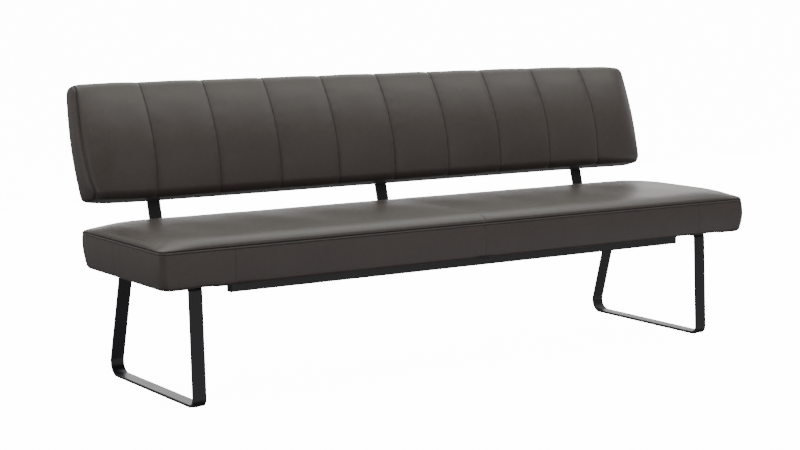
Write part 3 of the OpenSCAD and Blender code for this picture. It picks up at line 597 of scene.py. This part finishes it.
def back_stations(fullness, dense=True):
    """Stations round the section for a column of fullness values, from the rear foot round the front."""
    f = np.asarray(fullness, float)[:, None]
    pi = np.pi
    low_angle = front_angle(LOW_RADIUS, f)
    low_height = LOW_RADIUS * (1 + np.sin(low_angle))
    low_depth = front_depth(low_height, f) - LOW_RADIUS * np.cos(low_angle)
    high_angle = front_angle(BACK_HEIGHT - HIGH_RADIUS, f)
    high_height = BACK_HEIGHT - HIGH_RADIUS * (1 - np.sin(high_angle))
    high_depth = front_depth(high_height, f) - HIGH_RADIUS * np.cos(high_angle)
    heel = np.degrees(np.arccos((BAR_DEPTH - SLOT_GAP - REAR_RADIUS) / REAR_RADIUS)) - 90
    rear = np.array([0, 15, 30, 90 - heel, 60, 75, 90]) / 90 if dense else np.array([0, 0.5, 1])
    base = np.array([BOARD_DEPTH + SLOT_GAP, 16, 24] if dense else [20.0])
    t = np.linspace(0, 1, 13 if dense else 5)
    turn = np.linspace(0, 1, 7 if dense else 3)
    across = turn[1:-1]
    h = low_height + (high_height - low_height) * np.linspace(0, 1, 40 if dense else 10)[1:-1]
    down = np.linspace(BACK_HEIGHT - REAR_RADIUS, REAR_RADIUS, 19 if dense else 6)[1:-1]
    rear_depth = REAR_RADIUS + 0 * f
    return np.concatenate([
        arc(rear_depth, REAR_RADIUS, REAR_RADIUS, pi, 1.5 * pi, rear, 0),
        stations(base, 0 * f, 1.5 * pi, (base - REAR_RADIUS) / 90),
        arc(low_depth, LOW_RADIUS, LOW_RADIUS, 1.5 * pi, 2 * pi + low_angle, t, 0.2 + 1.2 * t - 0.4 * t * t),
        stations(front_depth(h, f), h, front_angle(h, f), 1),
        arc(high_depth, BACK_HEIGHT - HIGH_RADIUS, HIGH_RADIUS, high_angle, pi / 2, t,
            1 - 0.05 * t - 0.7 * t * t),
        stations(high_depth + (REAR_RADIUS - high_depth) * across, BACK_HEIGHT, pi / 2, 0.25 - 0.1 * across),
        arc(rear_depth, BACK_HEIGHT - REAR_RADIUS, REAR_RADIUS, pi / 2, pi, turn,
            0.15 * np.clip(1 - 2 * turn, 0, 1)),
        stations(0 * f, down, pi, 0)], axis=1)


def swell(x):
    """0 at an end seam, rising along a quarter of an ellipse to 1 inside."""
    reach = np.clip((np.abs(x) - HALF + END_SWELL) / END_SWELL, 0, 1)
    return np.sqrt(1 - reach ** 2)


def valley_distance(x):
    """Distance from the nearest seam valley between two channels."""
    return np.abs(np.asarray(x)[..., None] - CHANNEL_SEAMS).min(axis=-1)


def puff(x):
    """Rise of a channel between its seams: a broad pillow, with a steeper dip close to each seam."""
    seams = (x + INNER_HALF) / CHANNEL_PITCH
    beyond = (np.abs(x) - INNER_HALF) / OUTER_CHANNEL
    inner = 1 - 2 * np.abs(seams - np.round(seams))
    place = np.where(beyond > 0.5, 0, np.where(beyond > 0, 1 - 2 * beyond, inner))
    pillow = (CHANNEL_PUFF - CREASE_RISE - CLOTH_RISE) * (1 - place ** 2)
    return pillow + CREASE_RISE * (1 - np.exp(-valley_distance(x) / CREASE_WIDTH))


def by_end(x, sides):
    """The first of two lengths at the left end of the back and the second at its right end."""
    return np.where(x < 0, *sides)


def bow(x, d, h):
    """How far the end on the side of x bows outwards at a depth and a height.

    It is half a sine wave and a flare towards the head. Its front bows further and sweeps in at the foot.
    """
    wave = np.sin(np.pi * h / BACK_HEIGHT)
    front = by_end(x, SEAM_SWAY) * wave - by_end(x, FOOT_SWEEP) * bump(h, SWEEP_HEIGHT)
    return by_end(x, END_BOW) * wave + by_end(x, HEAD_FLARE) * h / BACK_HEIGHT + front * ease(d / 60)


def back_sections(x, depth=0.0, dense=True):
    """Sections at places along the bench, as grids of place, depth and height.

    Stations move out with the channels' rise. Rear and head bulge along half a sine wave, and the foot hangs
    a little lower. Towards each end the head drops and the foot rises, or sinks where its length is
    negative. There the sections also bow outwards and round their two rear corners.
    """
    place = np.minimum(np.abs(x) + depth, HALF)
    fullness = swell(place)
    d, h, angle, share = np.moveaxis(back_stations(fullness, dense), -1, 0)
    puffed = (puff(x) * fullness)[:, None] * share if depth == 0 else 0
    from_seam = (HALF - place)[:, None]
    corner = np.clip(1 - from_seam / REAR_CORNER_REACH, 0, 1)
    bowed = np.clip(1 - from_seam / BOW_REACH, 0, 1) ** 2
    d = d + (puffed - depth) * np.cos(angle)
    h = h + (puffed - depth) * np.sin(angle)
    behind = np.maximum(-np.cos(angle), 0) * (1 - 0.6 * corner)
    for low in (True, False):
        near = np.hypot(d, h if low else BACK_HEIGHT - h)
        soft = REAR_CORNER_SOFTNESS * corner ** 2 * bump(near, 17)
        d = d + soft
        h = h + soft if low else h - soft
    d = d - REAR_FULLNESS * np.sin(np.pi * np.clip(h / BACK_HEIGHT, 0, 1)) * behind
    head = np.maximum(np.sin(angle), 0) ** 2 * np.sin(np.pi * np.clip(d / END_DEPTH_HIGH, 0, 1))
    foot = np.maximum(-np.sin(angle), 0) ** 2
    up = np.clip(h / BACK_HEIGHT, 0, 1)
    side = x[:, None]
    drop = by_end(side, HEAD_DROP) * np.exp(-from_seam / by_end(side, DROP_REACH))
    rise = by_end(side, FOOT_RISE) * np.exp(-from_seam / by_end(side, RISE_REACH))
    h = h + HEAD_FULLNESS * head - FOOT_FULLNESS * foot + rise * (1 - up) - drop * up
    return side + np.sign(side) * bowed * bow(side, d, h), d, h


def lean(x, d, h):
    """Points of the back cushion's own frame, set at the lean in the bench's frame."""
    y = BACK_FOOT[0] - d * math.cos(BACK_LEAN) + h * math.sin(BACK_LEAN)
    z = BACK_FOOT[1] + d * math.sin(BACK_LEAN) + h * math.cos(BACK_LEAN)
    return np.stack([x, y, z], axis=2)


def end_panel(end_x, d, h, turns):
    """Rings of the panel that closes one end, from its edge to its middle, as (x, depth, height) grids.

    The first rings keep a distance from the edge while the panel rounds outwards along a sine. The
    others shrink to its middle. Every ring bows with its height, as the end seam does.
    """
    turn = np.concatenate([np.linspace(0, 1.4, turns)[1:], np.full(4, 1.4)])[:, None]
    shrink = np.concatenate([np.ones(turns - 1), [0.75, 0.5, 0.25, 0]])[:, None]
    inset = END_ROUNDING * (1 - np.cos(turn))
    middle_d = (END_DEPTH_LOW + END_DEPTH_HIGH) / 4
    middle_h = BACK_HEIGHT / 2
    panel_d = middle_d + (d - middle_d) * (1 - inset / middle_d) * shrink
    panel_h = middle_h + (h - middle_h) * (1 - inset / middle_h) * shrink
    bulge = END_BULGE * (1 - (1 - np.sin(turn)) * shrink)
    return np.sign(end_x) * (abs(end_x) + bulge + bow(end_x, panel_d, panel_h)), panel_d, panel_h


def back_form(x, depth=0.0, dense=True, turns=9):
    """The whole cushion as grids of x, depth and height: sections from right to left and two end panels."""
    body = back_sections(x, depth, dense)
    right = end_panel(x[0], body[1][0], body[2][0], turns)
    left = end_panel(x[-1], body[1][-1], body[2][-1], turns)
    return tuple(np.concatenate([r[::-1], b, l]) for r, b, l in zip(right, body, left))


FRONT_STATIONS = slice(10, 74, 2)


def pressed_back(x, rows):
    """The front's move under pressure at every section: a coarse sheet held at its seams, carried over."""
    inner = np.linspace(INNER_HALF, -INNER_HALF, 10 * (CHANNELS - 2) + 1)
    outer = np.linspace(HALF, INNER_HALF, 10, endpoint=False)
    places = np.concatenate([outer, inner, -outer[::-1]])
    sheet = lean(*(grid[:, FRONT_STATIONS] for grid in back_sections(places)))
    pinned = np.zeros(sheet.shape[:2], bool)
    pinned[[0, -1]] = True
    pinned[:, [0, -1]] = True
    pinned[valley_distance(places) < 0.5] = True
    moves = settled("channel_sheet", sheet, pinned, 2 * CLOTH_RISE, 37)
    at_rows = np.interp(-x, -places, np.arange(len(places)))[:, None]
    at_columns = (np.arange(rows) - FRONT_STATIONS.start)[None] / FRONT_STATIONS.step
    inside = (at_columns > 0) & (at_columns < sheet.shape[1] - 1)
    return np.where(inside, carried(moves, at_rows, at_columns), 0)


def back_places():
    """Places along the bench: crowded at the seam valleys, at the end seams and beside the supports."""
    straight = HALF - END_SWELL
    swollen = END_SWELL * (1 - np.sin(np.linspace(0, np.pi / 2, 16)))
    ends = HALF - np.concatenate([swollen, [0.6, 1.2, 2, 3.2, 5]])
    inner = spread(2 * straight, 13, CHANNEL_SEAMS + straight) - straight
    slots = [s + side * (BAR_WIDTH / 2 + SLOT_GAP) for s in SUPPORTS for side in (-1, 1)]
    places = np.unique(np.round(np.concatenate([inner, slots, ends, -ends]), 4))
    keep = np.isin(places, np.round(slots, 4))
    keep[1:] |= np.diff(places) > LEAST_GAP
    keep[[0, -1]] = True
    return places[keep][::-1]


def walls(quads, count, sealed):
    """Quads that join two shells of count points each, along the free edges of the outer shell's quads."""
    starts = quads.ravel()
    ends = np.roll(quads, -1, axis=1).ravel()
    free = ~np.isin(starts * count + ends, ends * count + starts)
    free &= ~(sealed[starts] & sealed[ends])
    starts, ends = starts[free], ends[free]
    return np.stack([ends, starts, starts + count, ends + count], axis=1)


def back_sewing(grid_x, d, h):
    """The sewn back's lift from its plain form, how dark its seams are, with painted shade in their grooves,
    and where it is lighter with a painted highlight just inside the end seams and along the head.

    Gathers fade away from the valleys, slow waves cross the channels, and grooves lie at the other seams.
    """
    beside = valley_distance(grid_x)
    from_end = HALF - np.abs(grid_x) + bow(grid_x, d, h)
    front = np.clip((d - 20) / 30, 0, 1)
    gathers = uneven_ripple(h, (27, 36, 47), h + 0.7 * grid_x, (190, 330), 21)
    waves = ripple(grid_x + 0.35 * h, (300, 211, 160), 25)
    head_seam = bump(h - (BACK_HEIGHT - REAR_SEAM_INSET), REAR_SEAM_WIDTH) * (d < 8)
    foot_seam = bump(h - REAR_SEAM_INSET, REAR_SEAM_WIDTH) * (d < 2)
    lift = BACK_GATHER * gathers * np.exp(-beside / 16) * (1 - bump(beside, 2)) * front
    lift += BACK_WAVE * waves * front * np.clip(beside / 60, 0, 1)
    lift += grooves(from_end, BACK_END_GROOVES)
    lift -= HEAD_SEAM_DEPTH * head_seam + FOOT_SEAM_DEPTH * foot_seam
    # Dark valley lines with painted shade in their grooves, fading towards the foot of the back
    shaded = 0.4 + 0.6 * ease(h / 220)
    valley_seam_and_shade = bump(beside, 2.3) * np.clip((d - 6) / 6, 0, 1) * shaded
    seam = np.maximum.reduce([valley_seam_and_shade, 0.8 * bump(from_end, 3), head_seam, foot_seam])
    # Painted highlight: lighter just inside each end seam and along the top of the head
    rub = 0.7 * bump(from_end - 6, 5) + 0.5 * bump(h - BACK_HEIGHT, 12) * bump(d - 60, 40)
    return lift, seam, rub


def back_cover():
    """The channelled leather cover: an outer and an inner shell, joined round the slots for the supports."""
    x = back_places()
    grid_x, d, h = back_form(x)
    rows, columns = d.shape
    panel_rows = (rows - len(x)) // 2
    body = slice(panel_rows, -panel_rows)
    points = lean(grid_x, d, h)
    lift, seam, rub = back_sewing(grid_x, d, h)
    calm = ease((h - 30) / 90) * ease((BACK_HEIGHT - 20 - h) / 60)
    lift[body] += pressed_back(x, columns) * calm[body]
    lift[[0, -1]] = 0
    outer = points + outward(points) * lift[..., None]
    inner = lean(*back_form(x * (HALF - COVER_THICKNESS) / HALF, COVER_THICKNESS))
    quads = grid_quads(rows, columns)
    middle_x, middle_d, middle_h = (values.ravel()[quads].mean(axis=1) for values in (grid_x, d, h))
    in_slot = np.abs(middle_x[:, None] - SUPPORTS).min(axis=1) < BAR_WIDTH / 2 + SLOT_GAP
    in_slot &= (middle_d > BAR_DEPTH - 2 * SLOT_GAP) & (middle_d < BOARD_DEPTH + SLOT_GAP) & (middle_h < 8)
    quads = quads[~in_slot]
    sealed = np.zeros((rows, columns), bool)
    sealed[[0, -1]] = True
    shell = np.concatenate([quads, quads[:, ::-1] + d.size, walls(quads, d.size, sealed.ravel())])
    marks = {"seam": np.stack([seam, 0 * seam]), "rub": np.stack([rub, 0 * rub])}
    return make_mesh("back_cover_channelled", np.stack([outer, inner]), shell, marks)


def back_stuffing(name, nearest, farthest):
    """Stuffing of the back cushion: the smooth form inside the cover, kept between two depths.

    It is flat where one of them lies on the board.
    """
    x = np.linspace(HALF - FOAM_DEPTH, FOAM_DEPTH - HALF, 61)
    grid_x, d, h = back_form(x, FOAM_DEPTH, False, 5)
    return grid_mesh(name, lean(grid_x, np.clip(d, nearest, farthest), h))


def stitches(name, path, normals, pitch, length, thickness, free=None):
    """Threads along a closed path: one small six-sided bead, repeated at a pitch and laid along the path.

    Free tells for an array of places which of them may have a bead.
    """
    gone = distance_round(path)
    count = int(gone[-1] / pitch)
    places = (np.arange(count) + 0.5) * gone[-1] / count

    def at_places(values, places):
        closed = np.concatenate([values, values[:1]])
        return np.stack([np.interp(places % gone[-1], gone, closed[:, k]) for k in range(3)], axis=1)

    if free:
        places = places[free(at_places(path, places))]
    at = at_places(path, places)
    tangent = unit(at_places(path, places + 1) - at)
    up = at_places(normals, places)
    up = unit(up - tangent * (up * tangent).sum(axis=1, keepdims=True))
    side = np.cross(up, tangent)
    along = np.array([-0.5, -0.38, 0, 0.38, 0.5])[:, None] * length
    radii = np.array([0, 0.75, 1, 0.75, 0])[:, None] * thickness / 2
    turn = np.arange(6) * np.pi / 3
    bead = np.stack(np.broadcast_arrays(along, radii * np.cos(turn), radii * np.sin(turn)), axis=2)
    local = bead.reshape(-1, 3)
    axes = np.stack([tangent, side, up], axis=1)
    points = at[:, None] + (local[None, :, :, None] * axes[:, None]).sum(axis=2)
    first = np.arange(len(places))[:, None, None] * len(local)
    return make_mesh(name, points, (grid_quads(*bead.shape[:2]) + first).reshape(-1, 4))


def staples():
    """Staples that hold the turned edge of the cover under the seat, left out where a bar crosses them."""
    path = seat_floor(seat_columns(20), [STAPLE_INSET], UNDERSIDE - 0.2)[0]
    down = np.broadcast_to((0.0, 0, -1), path.shape)

    def free(places):
        return (np.abs(places[:, :1] - BARS) > BAR_WIDTH / 2 + STAPLE_LENGTH).all(axis=1)

    return stitches("seat_staples", path, down, STAPLE_PITCH, STAPLE_LENGTH, STAPLE_THICKNESS, free)


# Shader writing

class Value:
    """A shader socket with arithmetic: an expression on values adds its Math nodes."""

    def __init__(self, shader, socket):
        self.shader = shader
        self.socket = socket

    def math(self, operation, *terms):
        return self.shader.add("Math", {"operation": operation}, dict(enumerate(terms)))

    def __add__(self, other):
        return self.math("ADD", self, other)

    def __sub__(self, other):
        return self.math("SUBTRACT", self, other)

    def __rsub__(self, other):
        return self.math("SUBTRACT", other, self)

    def __mul__(self, other):
        return self.math("MULTIPLY", self, other)

    __radd__ = __add__
    __rmul__ = __mul__


class Shader:
    """The nodes of one new material or world."""

    def __init__(self, name, kind="materials"):
        self.owner = getattr(bpy.data, kind).new(name)
        self.owner.use_nodes = True
        self.tree = self.owner.node_tree
        self.tree.nodes.clear()

    def add(self, kind, settings, sockets, output=0):
        """Adds a node: its settings first, then a value or a link for each socket."""
        node = self.tree.nodes.new("ShaderNode" + kind)
        for key, value in settings.items():
            if key == "stops":
                elements = node.color_ramp.elements
                while len(elements) < len(value):
                    elements.new(0.5)
                for element, (position, level) in zip(elements, value):
                    element.position = position
                    element.color = (level, level, level, 1)
            else:
                setattr(node, key, value)
        for key, value in sockets.items():
            if isinstance(value, Value):
                self.tree.links.new(value.socket, node.inputs[key])
            else:
                node.inputs[key].default_value = value
        return Value(self, node.outputs[output]) if len(node.outputs) else None

    def place(self, scale=(1, 1, 1)):
        """The object's own coordinates in metres, stretched by a scale."""
        spot = self.add("TexCoord", {}, {}, "Object")
        return self.add("Mapping", {}, {"Vector": spot, "Scale": scale})

    def noise(self, size, detail, scale=(1, 1, 1)):
        """Cloudy variation from 0 to 1, whose lumps are a size across in metres."""
        return self.add("TexNoise", {}, {
            "Vector": self.place(scale), "Scale": 1 / size, "Detail": detail}, "Fac")

    def cells(self, size, feature="F1", scale=(1, 1, 1)):
        """Distance within cells that are a size across in metres."""
        return self.add("TexVoronoi", {"feature": feature}, {"Vector": self.place(scale), "Scale": 1 / size},
                        "Distance")

    def ridges(self, size, axis, distortion=0.0):
        """Straight waves across an axis, with a size in metres from crest to crest."""
        return self.add("TexWave", {"bands_direction": axis}, {
            "Vector": self.place(), "Scale": 0.314 / size, "Distortion": distortion}, "Fac")

    def mark(self, name):
        """A number that the mesh keeps for each point."""
        return self.add("Attribute", {"attribute_name": name}, {}, "Fac")

    def ramp(self, factor, *stops):
        """Straight lines between stops, which are pairs of place and level."""
        return self.add("ValToRGB", {"stops": stops}, {"Fac": factor})

    def mix(self, factor, first, second):
        """A colour between two by a factor. Each is a value or the 0 to 255 levels of a screen."""
        first, second = (c if isinstance(c, Value) else linear(*c) for c in (first, second))
        return self.add("Mix", {"data_type": "RGBA"}, {0: factor, 6: first, 7: second}, 2)

    def relief(self, height, depth):
        """Bump from a height, where 1 stands a depth in metres above 0."""
        return self.add("Bump", {}, {"Height": height, "Distance": depth, "Strength": 1.0})

    def finish(self, colour, roughness, normal, **constants):
        """The Principled surface and the material's output."""
        sockets = {"Base Color": colour, "Roughness": roughness, "Normal": normal}
        sockets.update({key.replace("_", " "): value for key, value in constants.items()})
        surface = self.add("BsdfPrincipled", {}, sockets)
        self.add("OutputMaterial", {}, {"Surface": surface})
        return self.owner


def linear(*levels):
    """A colour for a shader from the 0 to 255 levels of a screen."""
    shares = [level / 255 for level in levels]
    return tuple(s / 12.92 if s <= 0.04045 else ((s + 0.055) / 1.055) ** 2.4 for s in shares) + (1,)


def clouded(name, size, detail, first, second):
    """A new material with a cloudy haze and the colour that it gives between two."""
    s = Shader(name)
    haze = s.noise(size, detail)
    return s, haze, s.mix(haze, first, second)


def leather():
    """Dark taupe leather: fine pebbled grain and clouded dye, lighter where the welts are rubbed and where
    highlights are painted on, and darker seams with painted shade in their grooves.
    """
    s = Shader("taupe_leather")
    clouds = s.noise(0.22, 4)
    mottle = s.noise(0.018, 3)
    tone = clouds * 0.6 + mottle * 0.4
    dyed = s.mix(s.ramp(tone, (0.3, 0), (0.7, 1)), (66, 56, 52), (74, 64, 60))
    # Lighter towards a pale tone where the welt is rubbed and where highlights are painted on the crown and
    # the back
    worn_and_highlighted = s.mix(s.mark("rub") * 0.35, dyed, (98, 92, 86))
    # Darker seams: dark seam lines with painted shade in their grooves
    colour = s.mix(s.mark("seam") * 0.75, worn_and_highlighted, (25, 21, 19))
    grain = s.cells(0.0016, "SMOOTH_F1")
    creases = s.cells(0.0052, "DISTANCE_TO_EDGE")
    height = grain * 0.6 + s.ramp(creases, (0, 0), (0.12, 1)) * 0.4 + s.noise(0.0006, 2) * 0.2
    roughness = 0.34 + clouds * 0.08 + mottle * 0.06 + s.mark("seam") * 0.25 - s.mark("rub") * 0.04
    return s.finish(colour, roughness, s.relief(height, 0.00012), Specular_IOR_Level=0.5,
                    Coat_Roughness=0.35, Coat_Weight=0.12, Sheen_Weight=0.05)


def powder_coat():
    """Black powder-coated steel: faint orange peel, slightly uneven gloss."""
    s, haze, colour = clouded("black_powder_coat", 0.12, 3, (25, 23, 29), (32, 30, 37))
    peel = s.noise(0.0022, 2)
    return s.finish(colour, 0.3 + haze * 0.1 + peel * 0.05, s.relief(peel, 0.00006), Specular_IOR_Level=0.5)


def moulded_plastic():
    """Black moulded plastic with a fine spark-eroded texture."""
    s, haze, colour = clouded("black_moulded_plastic", 0.03, 2, (18, 18, 19), (26, 26, 27))
    erosion = s.noise(0.0007, 2)
    return s.finish(colour, 0.48 + haze * 0.1, s.relief(erosion, 0.00005), Specular_IOR_Level=0.4)


def timber():
    """Pale sawn beech: grain lines along the board, with short flecks."""
    s = Shader("pale_sawn_timber")
    rings = s.ridges(0.006, "Y", 6.0)
    stretched = s.noise(0.012, 4, (0.06, 1, 1))
    fleck = s.cells(0.004, scale=(0.2, 1, 1))
    tone = rings * 0.35 + stretched * 0.65
    wood = s.mix(tone, (178, 138, 96), (214, 178, 134))
    colour = s.mix(s.ramp(fleck, (0.1, 0), (0.3, 1)), (150, 108, 72), wood)
    return s.finish(colour, 0.62 + stretched * 0.15, s.relief(rings * 0.5 + stretched * 0.5, 0.0002))


def foam():
    """Yellowish upholstery foam with open cells."""
    s, stain, colour = clouded("upholstery_foam", 0.15, 3, (214, 196, 140), (226, 212, 168))
    pores = s.cells(0.0022)
    return s.finish(colour, 0.9 + stain * 0.05, s.relief(pores, 0.0008), Specular_IOR_Level=0.2)


def black_cloth():
    """Black non-woven or woven cloth: crossed threads with lint."""
    s = Shader("black_cloth")
    weave = s.ridges(0.0012, "X") * s.ridges(0.0012, "Y")
    lint = s.noise(0.01, 4)
    colour = s.mix(lint * 0.6 + weave * 0.4, (20, 20, 20), (46, 45, 44))
    return s.finish(colour, 0.88 + lint * 0.08, s.relief(weave + lint * 0.5, 0.0002), Sheen_Weight=0.2)


def zinc():
    """Bright zinc-plated steel with a slight yellow bloom and fine scratches."""
    s, bloom, colour = clouded("zinc_plate", 0.006, 3, (176, 178, 182), (206, 202, 188))
    scratches = s.noise(0.0008, 3, (1, 12, 1))
    return s.finish(colour, 0.28 + bloom * 0.15, s.relief(scratches, 0.00003), Metallic=1.0)


def thread():
    """Dark twisted sewing thread."""
    s = Shader("taupe_thread")
    twist = s.ridges(0.0006, "DIAGONAL")
    colour = s.mix(twist, (40, 36, 34), (74, 68, 63))
    return s.finish(colour, 0.6 + twist * 0.1, s.relief(twist, 0.00008), Sheen_Weight=0.1)


def staple_wire():
    """Galvanised staple wire, dulled unevenly."""
    s, dull, colour = clouded("staple_wire", 0.004, 2, (150, 152, 156), (188, 188, 190))
    return s.finish(colour, 0.35 + dull * 0.2, s.relief(dull, 0.00003), Metallic=1.0)


finishes = {
    "leather": leather(), "black_steel": powder_coat(), "black_plastic": moulded_plastic(),
    "timber": timber(), "foam": foam(), "black_cloth": black_cloth(), "zinc": zinc()}

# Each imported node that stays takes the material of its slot, which the ending of its name tells
NODE_ENDINGS = {
    "black_steel": ("sled", "support", "rail"), "black_plastic": ("glide", "cap"),
    "timber": ("beam", "board"), "black_cloth": ("webbing",), "zinc": ("screws", "nuts")}
for slot, endings in NODE_ENDINGS.items():
    for name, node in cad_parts.items():
        if name.endswith(endings):
            node.data.materials.clear()
            node.data.materials.append(finishes[slot])

cover, sewn, seat_normals, reach = seat_cover()
dress(cover, "leather", "seat_cover")
foam_block = dress(seat_foam(), "foam", "seat_foam")
back = dress(back_cover(), "leather", "back_cover")
front_foam = back_stuffing("back_foam_block", BOARD_DEPTH + BOARD_THICKNESS + FIT_GAP, np.inf)
dress(front_foam, "foam", "back_foam")
pad = back_stuffing("back_pad_sheet", -np.inf, BOARD_DEPTH - FIT_GAP)
dress(pad, "foam", "back_rear_pad")
underside = dress(lining(), "black_cloth", "seat_lining")
stitch_ring = np.argmin(np.abs(reach + WELT_WIDTH))
up = seat_normals[stitch_ring]
row = stitches("top_seam_stitches", sewn[stitch_ring] + up * STITCH_RISE, up, STITCH_PITCH, STITCH_LENGTH,
               STITCH_THICKNESS)
dress(row, "leather", material=thread())
dress(staples(), "zinc", material=staple_wire())

# Camera, light and floor

# The camera as fitted to the photograph's edges, with its place in metres and its turns in degrees
FOCAL_LENGTH = 80.806
CAMERA_PLACE = (-3.2771, -4.7653, 1.2152)
CAMERA_YAW = 33.837
CAMERA_PITCH = 7.807
CAMERA_ROLL = -0.051
FLOOR_REACH = 400000


def aim(thing, place, yaw, pitch, roll=0.0):
    """Sets a camera or lamp at a place, turned from +Y towards +X by yaw and down by pitch."""
    turn = Matrix.Rotation(math.radians(-yaw), 4, "Z") @ Matrix.Rotation(math.radians(90 - pitch), 4, "X")
    thing.matrix_world = Matrix.Translation(place) @ turn @ Matrix.Rotation(math.radians(roll), 4, "Z")
    scene.collection.objects.link(thing)


lens = bpy.data.cameras.new("view")
lens.lens = FOCAL_LENGTH
lens.clip_end = 1000
camera = bpy.data.objects.new("view", lens)
aim(camera, CAMERA_PLACE, CAMERA_YAW, CAMERA_PITCH, CAMERA_ROLL)
scene.camera = camera


def lamp(name, place, yaw, pitch, width, height, power, colour=(1, 1, 1)):
    """A soft rectangular lamp."""
    light = bpy.data.lights.new(name, "AREA")
    light.shape = "RECTANGLE"
    light.size, light.size_y = width, height
    light.energy = power
    light.color = colour
    thing = bpy.data.objects.new(name, light)
    thing.visible_camera = False
    aim(thing, place, yaw, pitch)


lamp("overhead", (0, 0.6, 3.0), 0, 90, 7.0, 5.0, 160, (0.94, 1.0, 0.95))
lamp("backdrop", (4.5, 4.2, 1.4), 180, 0, 9.0, 3.0, 150)
lamp("fill", (1.8, -5.8, 1.2), -17, 3, 4.0, 2.4, 15)
lamp("right", (5.5, 0.8, 1.4), -102, 0, 3.0, 2.4, 12)
lamp("left", (-5.5, 2.0, 0.7), 110, 0, 2.4, 2.4, 14)


# Pairs of a direction's height and a strength, and the values of its Y between which the horizon fades
BASE_LIGHT = ((-0.6, 0.08), (-0.1, 0.3), (0.15, 0.36))
HORIZON_LIGHT = ((-0.6, 0), (-0.42, 0.66), (-0.24, 0.66), (-0.08, 0))
HORIZON_FADE = (0, 0.8)


def studio_world():
    """Light from all round: a base that follows the direction's height, and a brighter horizon in front."""
    s = Shader("studio", "worlds")
    direction = s.add("TexCoord", {}, {}, "Generated")
    up = s.add("SeparateXYZ", {}, {0: direction}, "Z")
    back = s.add("SeparateXYZ", {}, {0: direction}, "Y")
    base, band = (s.ramp(up * 0.5 + 0.5, *[((height + 1) / 2, level) for height, level in stops])
                  for stops in (BASE_LIGHT, HORIZON_LIGHT))
    facing = s.add("MapRange", {}, {
        "Value": back, "From Min": HORIZON_FADE[0], "From Max": HORIZON_FADE[1], "To Min": 1, "To Max": 0})
    glow = s.add("Background", {}, {"Color": (1, 1, 1, 1), "Strength": base + band * facing})
    s.add("OutputWorld", {}, {"Surface": glow})
    return s.owner


def studio_floor():
    """A pale matt floor that glows, so that it stays near white around the dark bench."""
    s = Shader("pale_floor")
    cloud = s.noise(0.6, 2)
    return s.finish((0.9, 0.9, 0.9, 1), 0.85 + cloud * 0.05, s.relief(cloud, 0.0001),
                    Emission_Color=(1, 1, 1, 1), Emission_Strength=14.0)


corners = [(x * FLOOR_REACH, y * FLOOR_REACH, 0) for x, y in ((-1, -1), (1, -1), (1, 1), (-1, 1))]
floor = make_mesh("floor", corners, [(0, 1, 2, 3)])
floor.data.materials.append(studio_floor())
floor.visible_diffuse = floor.visible_glossy = False
scene.world = studio_world()
